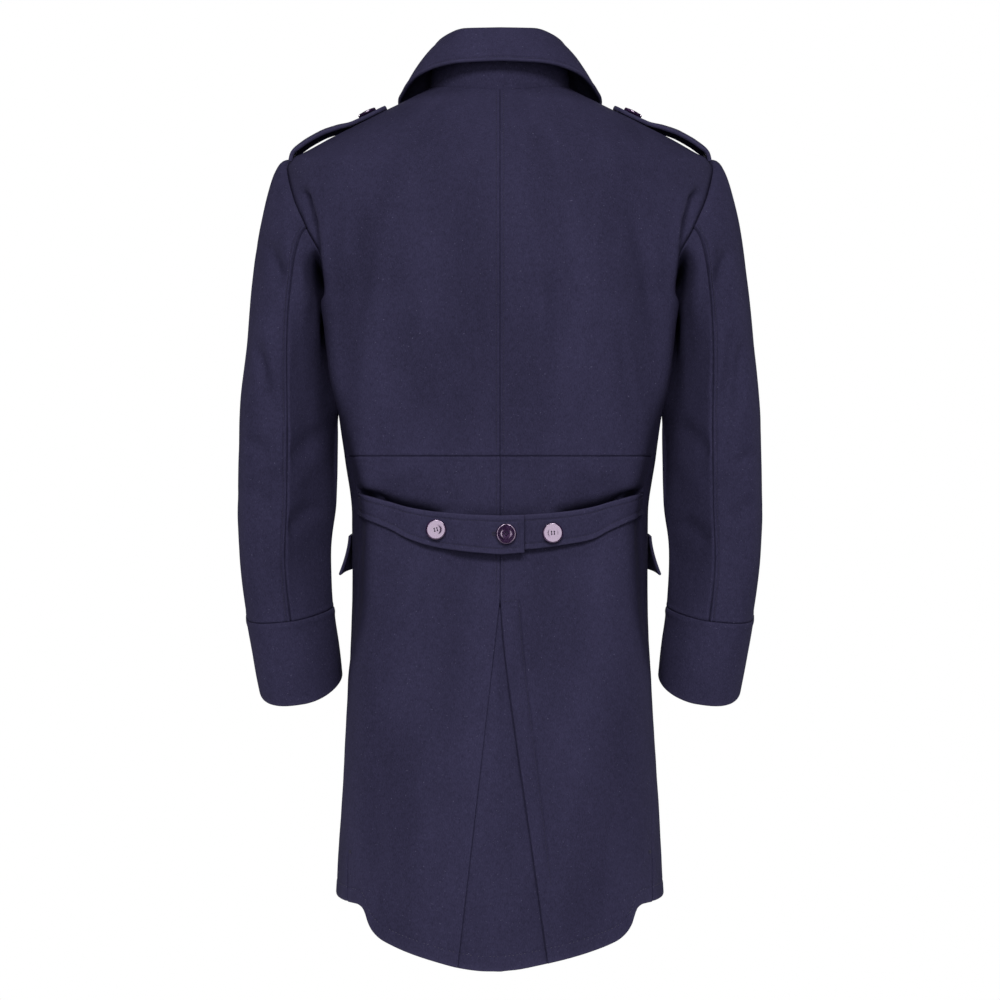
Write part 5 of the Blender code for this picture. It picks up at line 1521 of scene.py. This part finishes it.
pale_shader.inputs["Specular IOR Level"].default_value = 0.0
floor_mesh.materials.append(pale)

LIGHT_COLUMNS = ("name", "x", "y", "z", "wide", "tall", "watts")
LIGHTS = (
    ("softbox_left",   1.0,   5.0,  2.7,  1.2, 1.6, 101.0),
    ("softbox_right", -1.0,   5.0,  2.7,  1.2, 1.6, 101.0),
    ("softbox_top",    0.0,   1.6,  2.9,  2.0, 1.0, 18.0),
    ("fill_left",      0.75,  3.9,  0.10, 0.8, 1.8, 14.5),
    ("fill_right",    -0.75,  3.9,  0.10, 0.8, 1.8, 14.5),
    ("side_left",      3.1,  -1.45, -0.45, 0.7, 1.4, 38.0),
    ("side_right",    -3.1,  -1.45, -0.45, 0.7, 1.4, 38.0),
    ("front_left",     0.8,  -3.8,  0.8,  1.4, 2.0, 30.0),
    ("front_right",   -0.8,  -3.8,  0.8,  1.4, 2.0, 30.0),
)
AIM = Vector((0.0, 0.0, -0.45))
for name, x, y, z, wide, tall, watts in LIGHTS:
    lamp = bpy.data.lights.new(name, "AREA")
    lamp.shape, lamp.size, lamp.size_y, lamp.energy = "RECTANGLE", wide, tall, watts
    obj = bpy.data.objects.new(name, lamp)
    obj.location = (x, y, z)
    obj.rotation_euler = (AIM - obj.location).to_track_quat("-Z", "Y").to_euler()
    bpy.context.scene.collection.objects.link(obj)

world = bpy.data.worlds.new("studio")
bpy.context.scene.world = world
world.use_nodes = True
wn, wl = world.node_tree.nodes, world.node_tree.links
wn.clear()
out = wn.new("ShaderNodeOutputWorld")
seen, lit = wn.new("ShaderNodeBackground"), wn.new("ShaderNodeBackground")
seen.inputs["Color"].default_value = (1.0, 1.0, 1.0, 1.0)
seen.inputs["Strength"].default_value = 1.0
lit.inputs["Color"].default_value = (1.0, 1.0, 1.0, 1.0)
lit.inputs["Strength"].default_value = 0.015
path = wn.new("ShaderNodeLightPath")
mix = wn.new("ShaderNodeMixShader")
wl.new(path.outputs["Is Camera Ray"], mix.inputs["Fac"])
wl.new(lit.outputs["Background"], mix.inputs[1])
wl.new(seen.outputs["Background"], mix.inputs[2])
wl.new(mix.outputs["Shader"], out.inputs["Surface"])
bpy.context.scene.view_settings.view_transform = "Standard"
bpy.context.scene.view_settings.look = "None"

# --------------------------------------------------------------------- camera
CAMERA_DISTANCE = 3.4        # metres behind the coat
CAMERA_HEIGHT = -0.3968
FRAME_WIDTH = 1.137          # metres across the picture at the coat's middle
camera = bpy.data.cameras.new("camera")
camera.sensor_width = 36.0
camera.lens = 36.0 * CAMERA_DISTANCE / FRAME_WIDTH
camera.shift_y = -0.044
camera_object = bpy.data.objects.new("camera", camera)
camera_object.location = (0.0, CAMERA_DISTANCE, CAMERA_HEIGHT)
camera_object.rotation_euler = (math.radians(90.0), 0.0, math.radians(180.0))
bpy.context.scene.collection.objects.link(camera_object)
bpy.context.scene.camera = camera_object
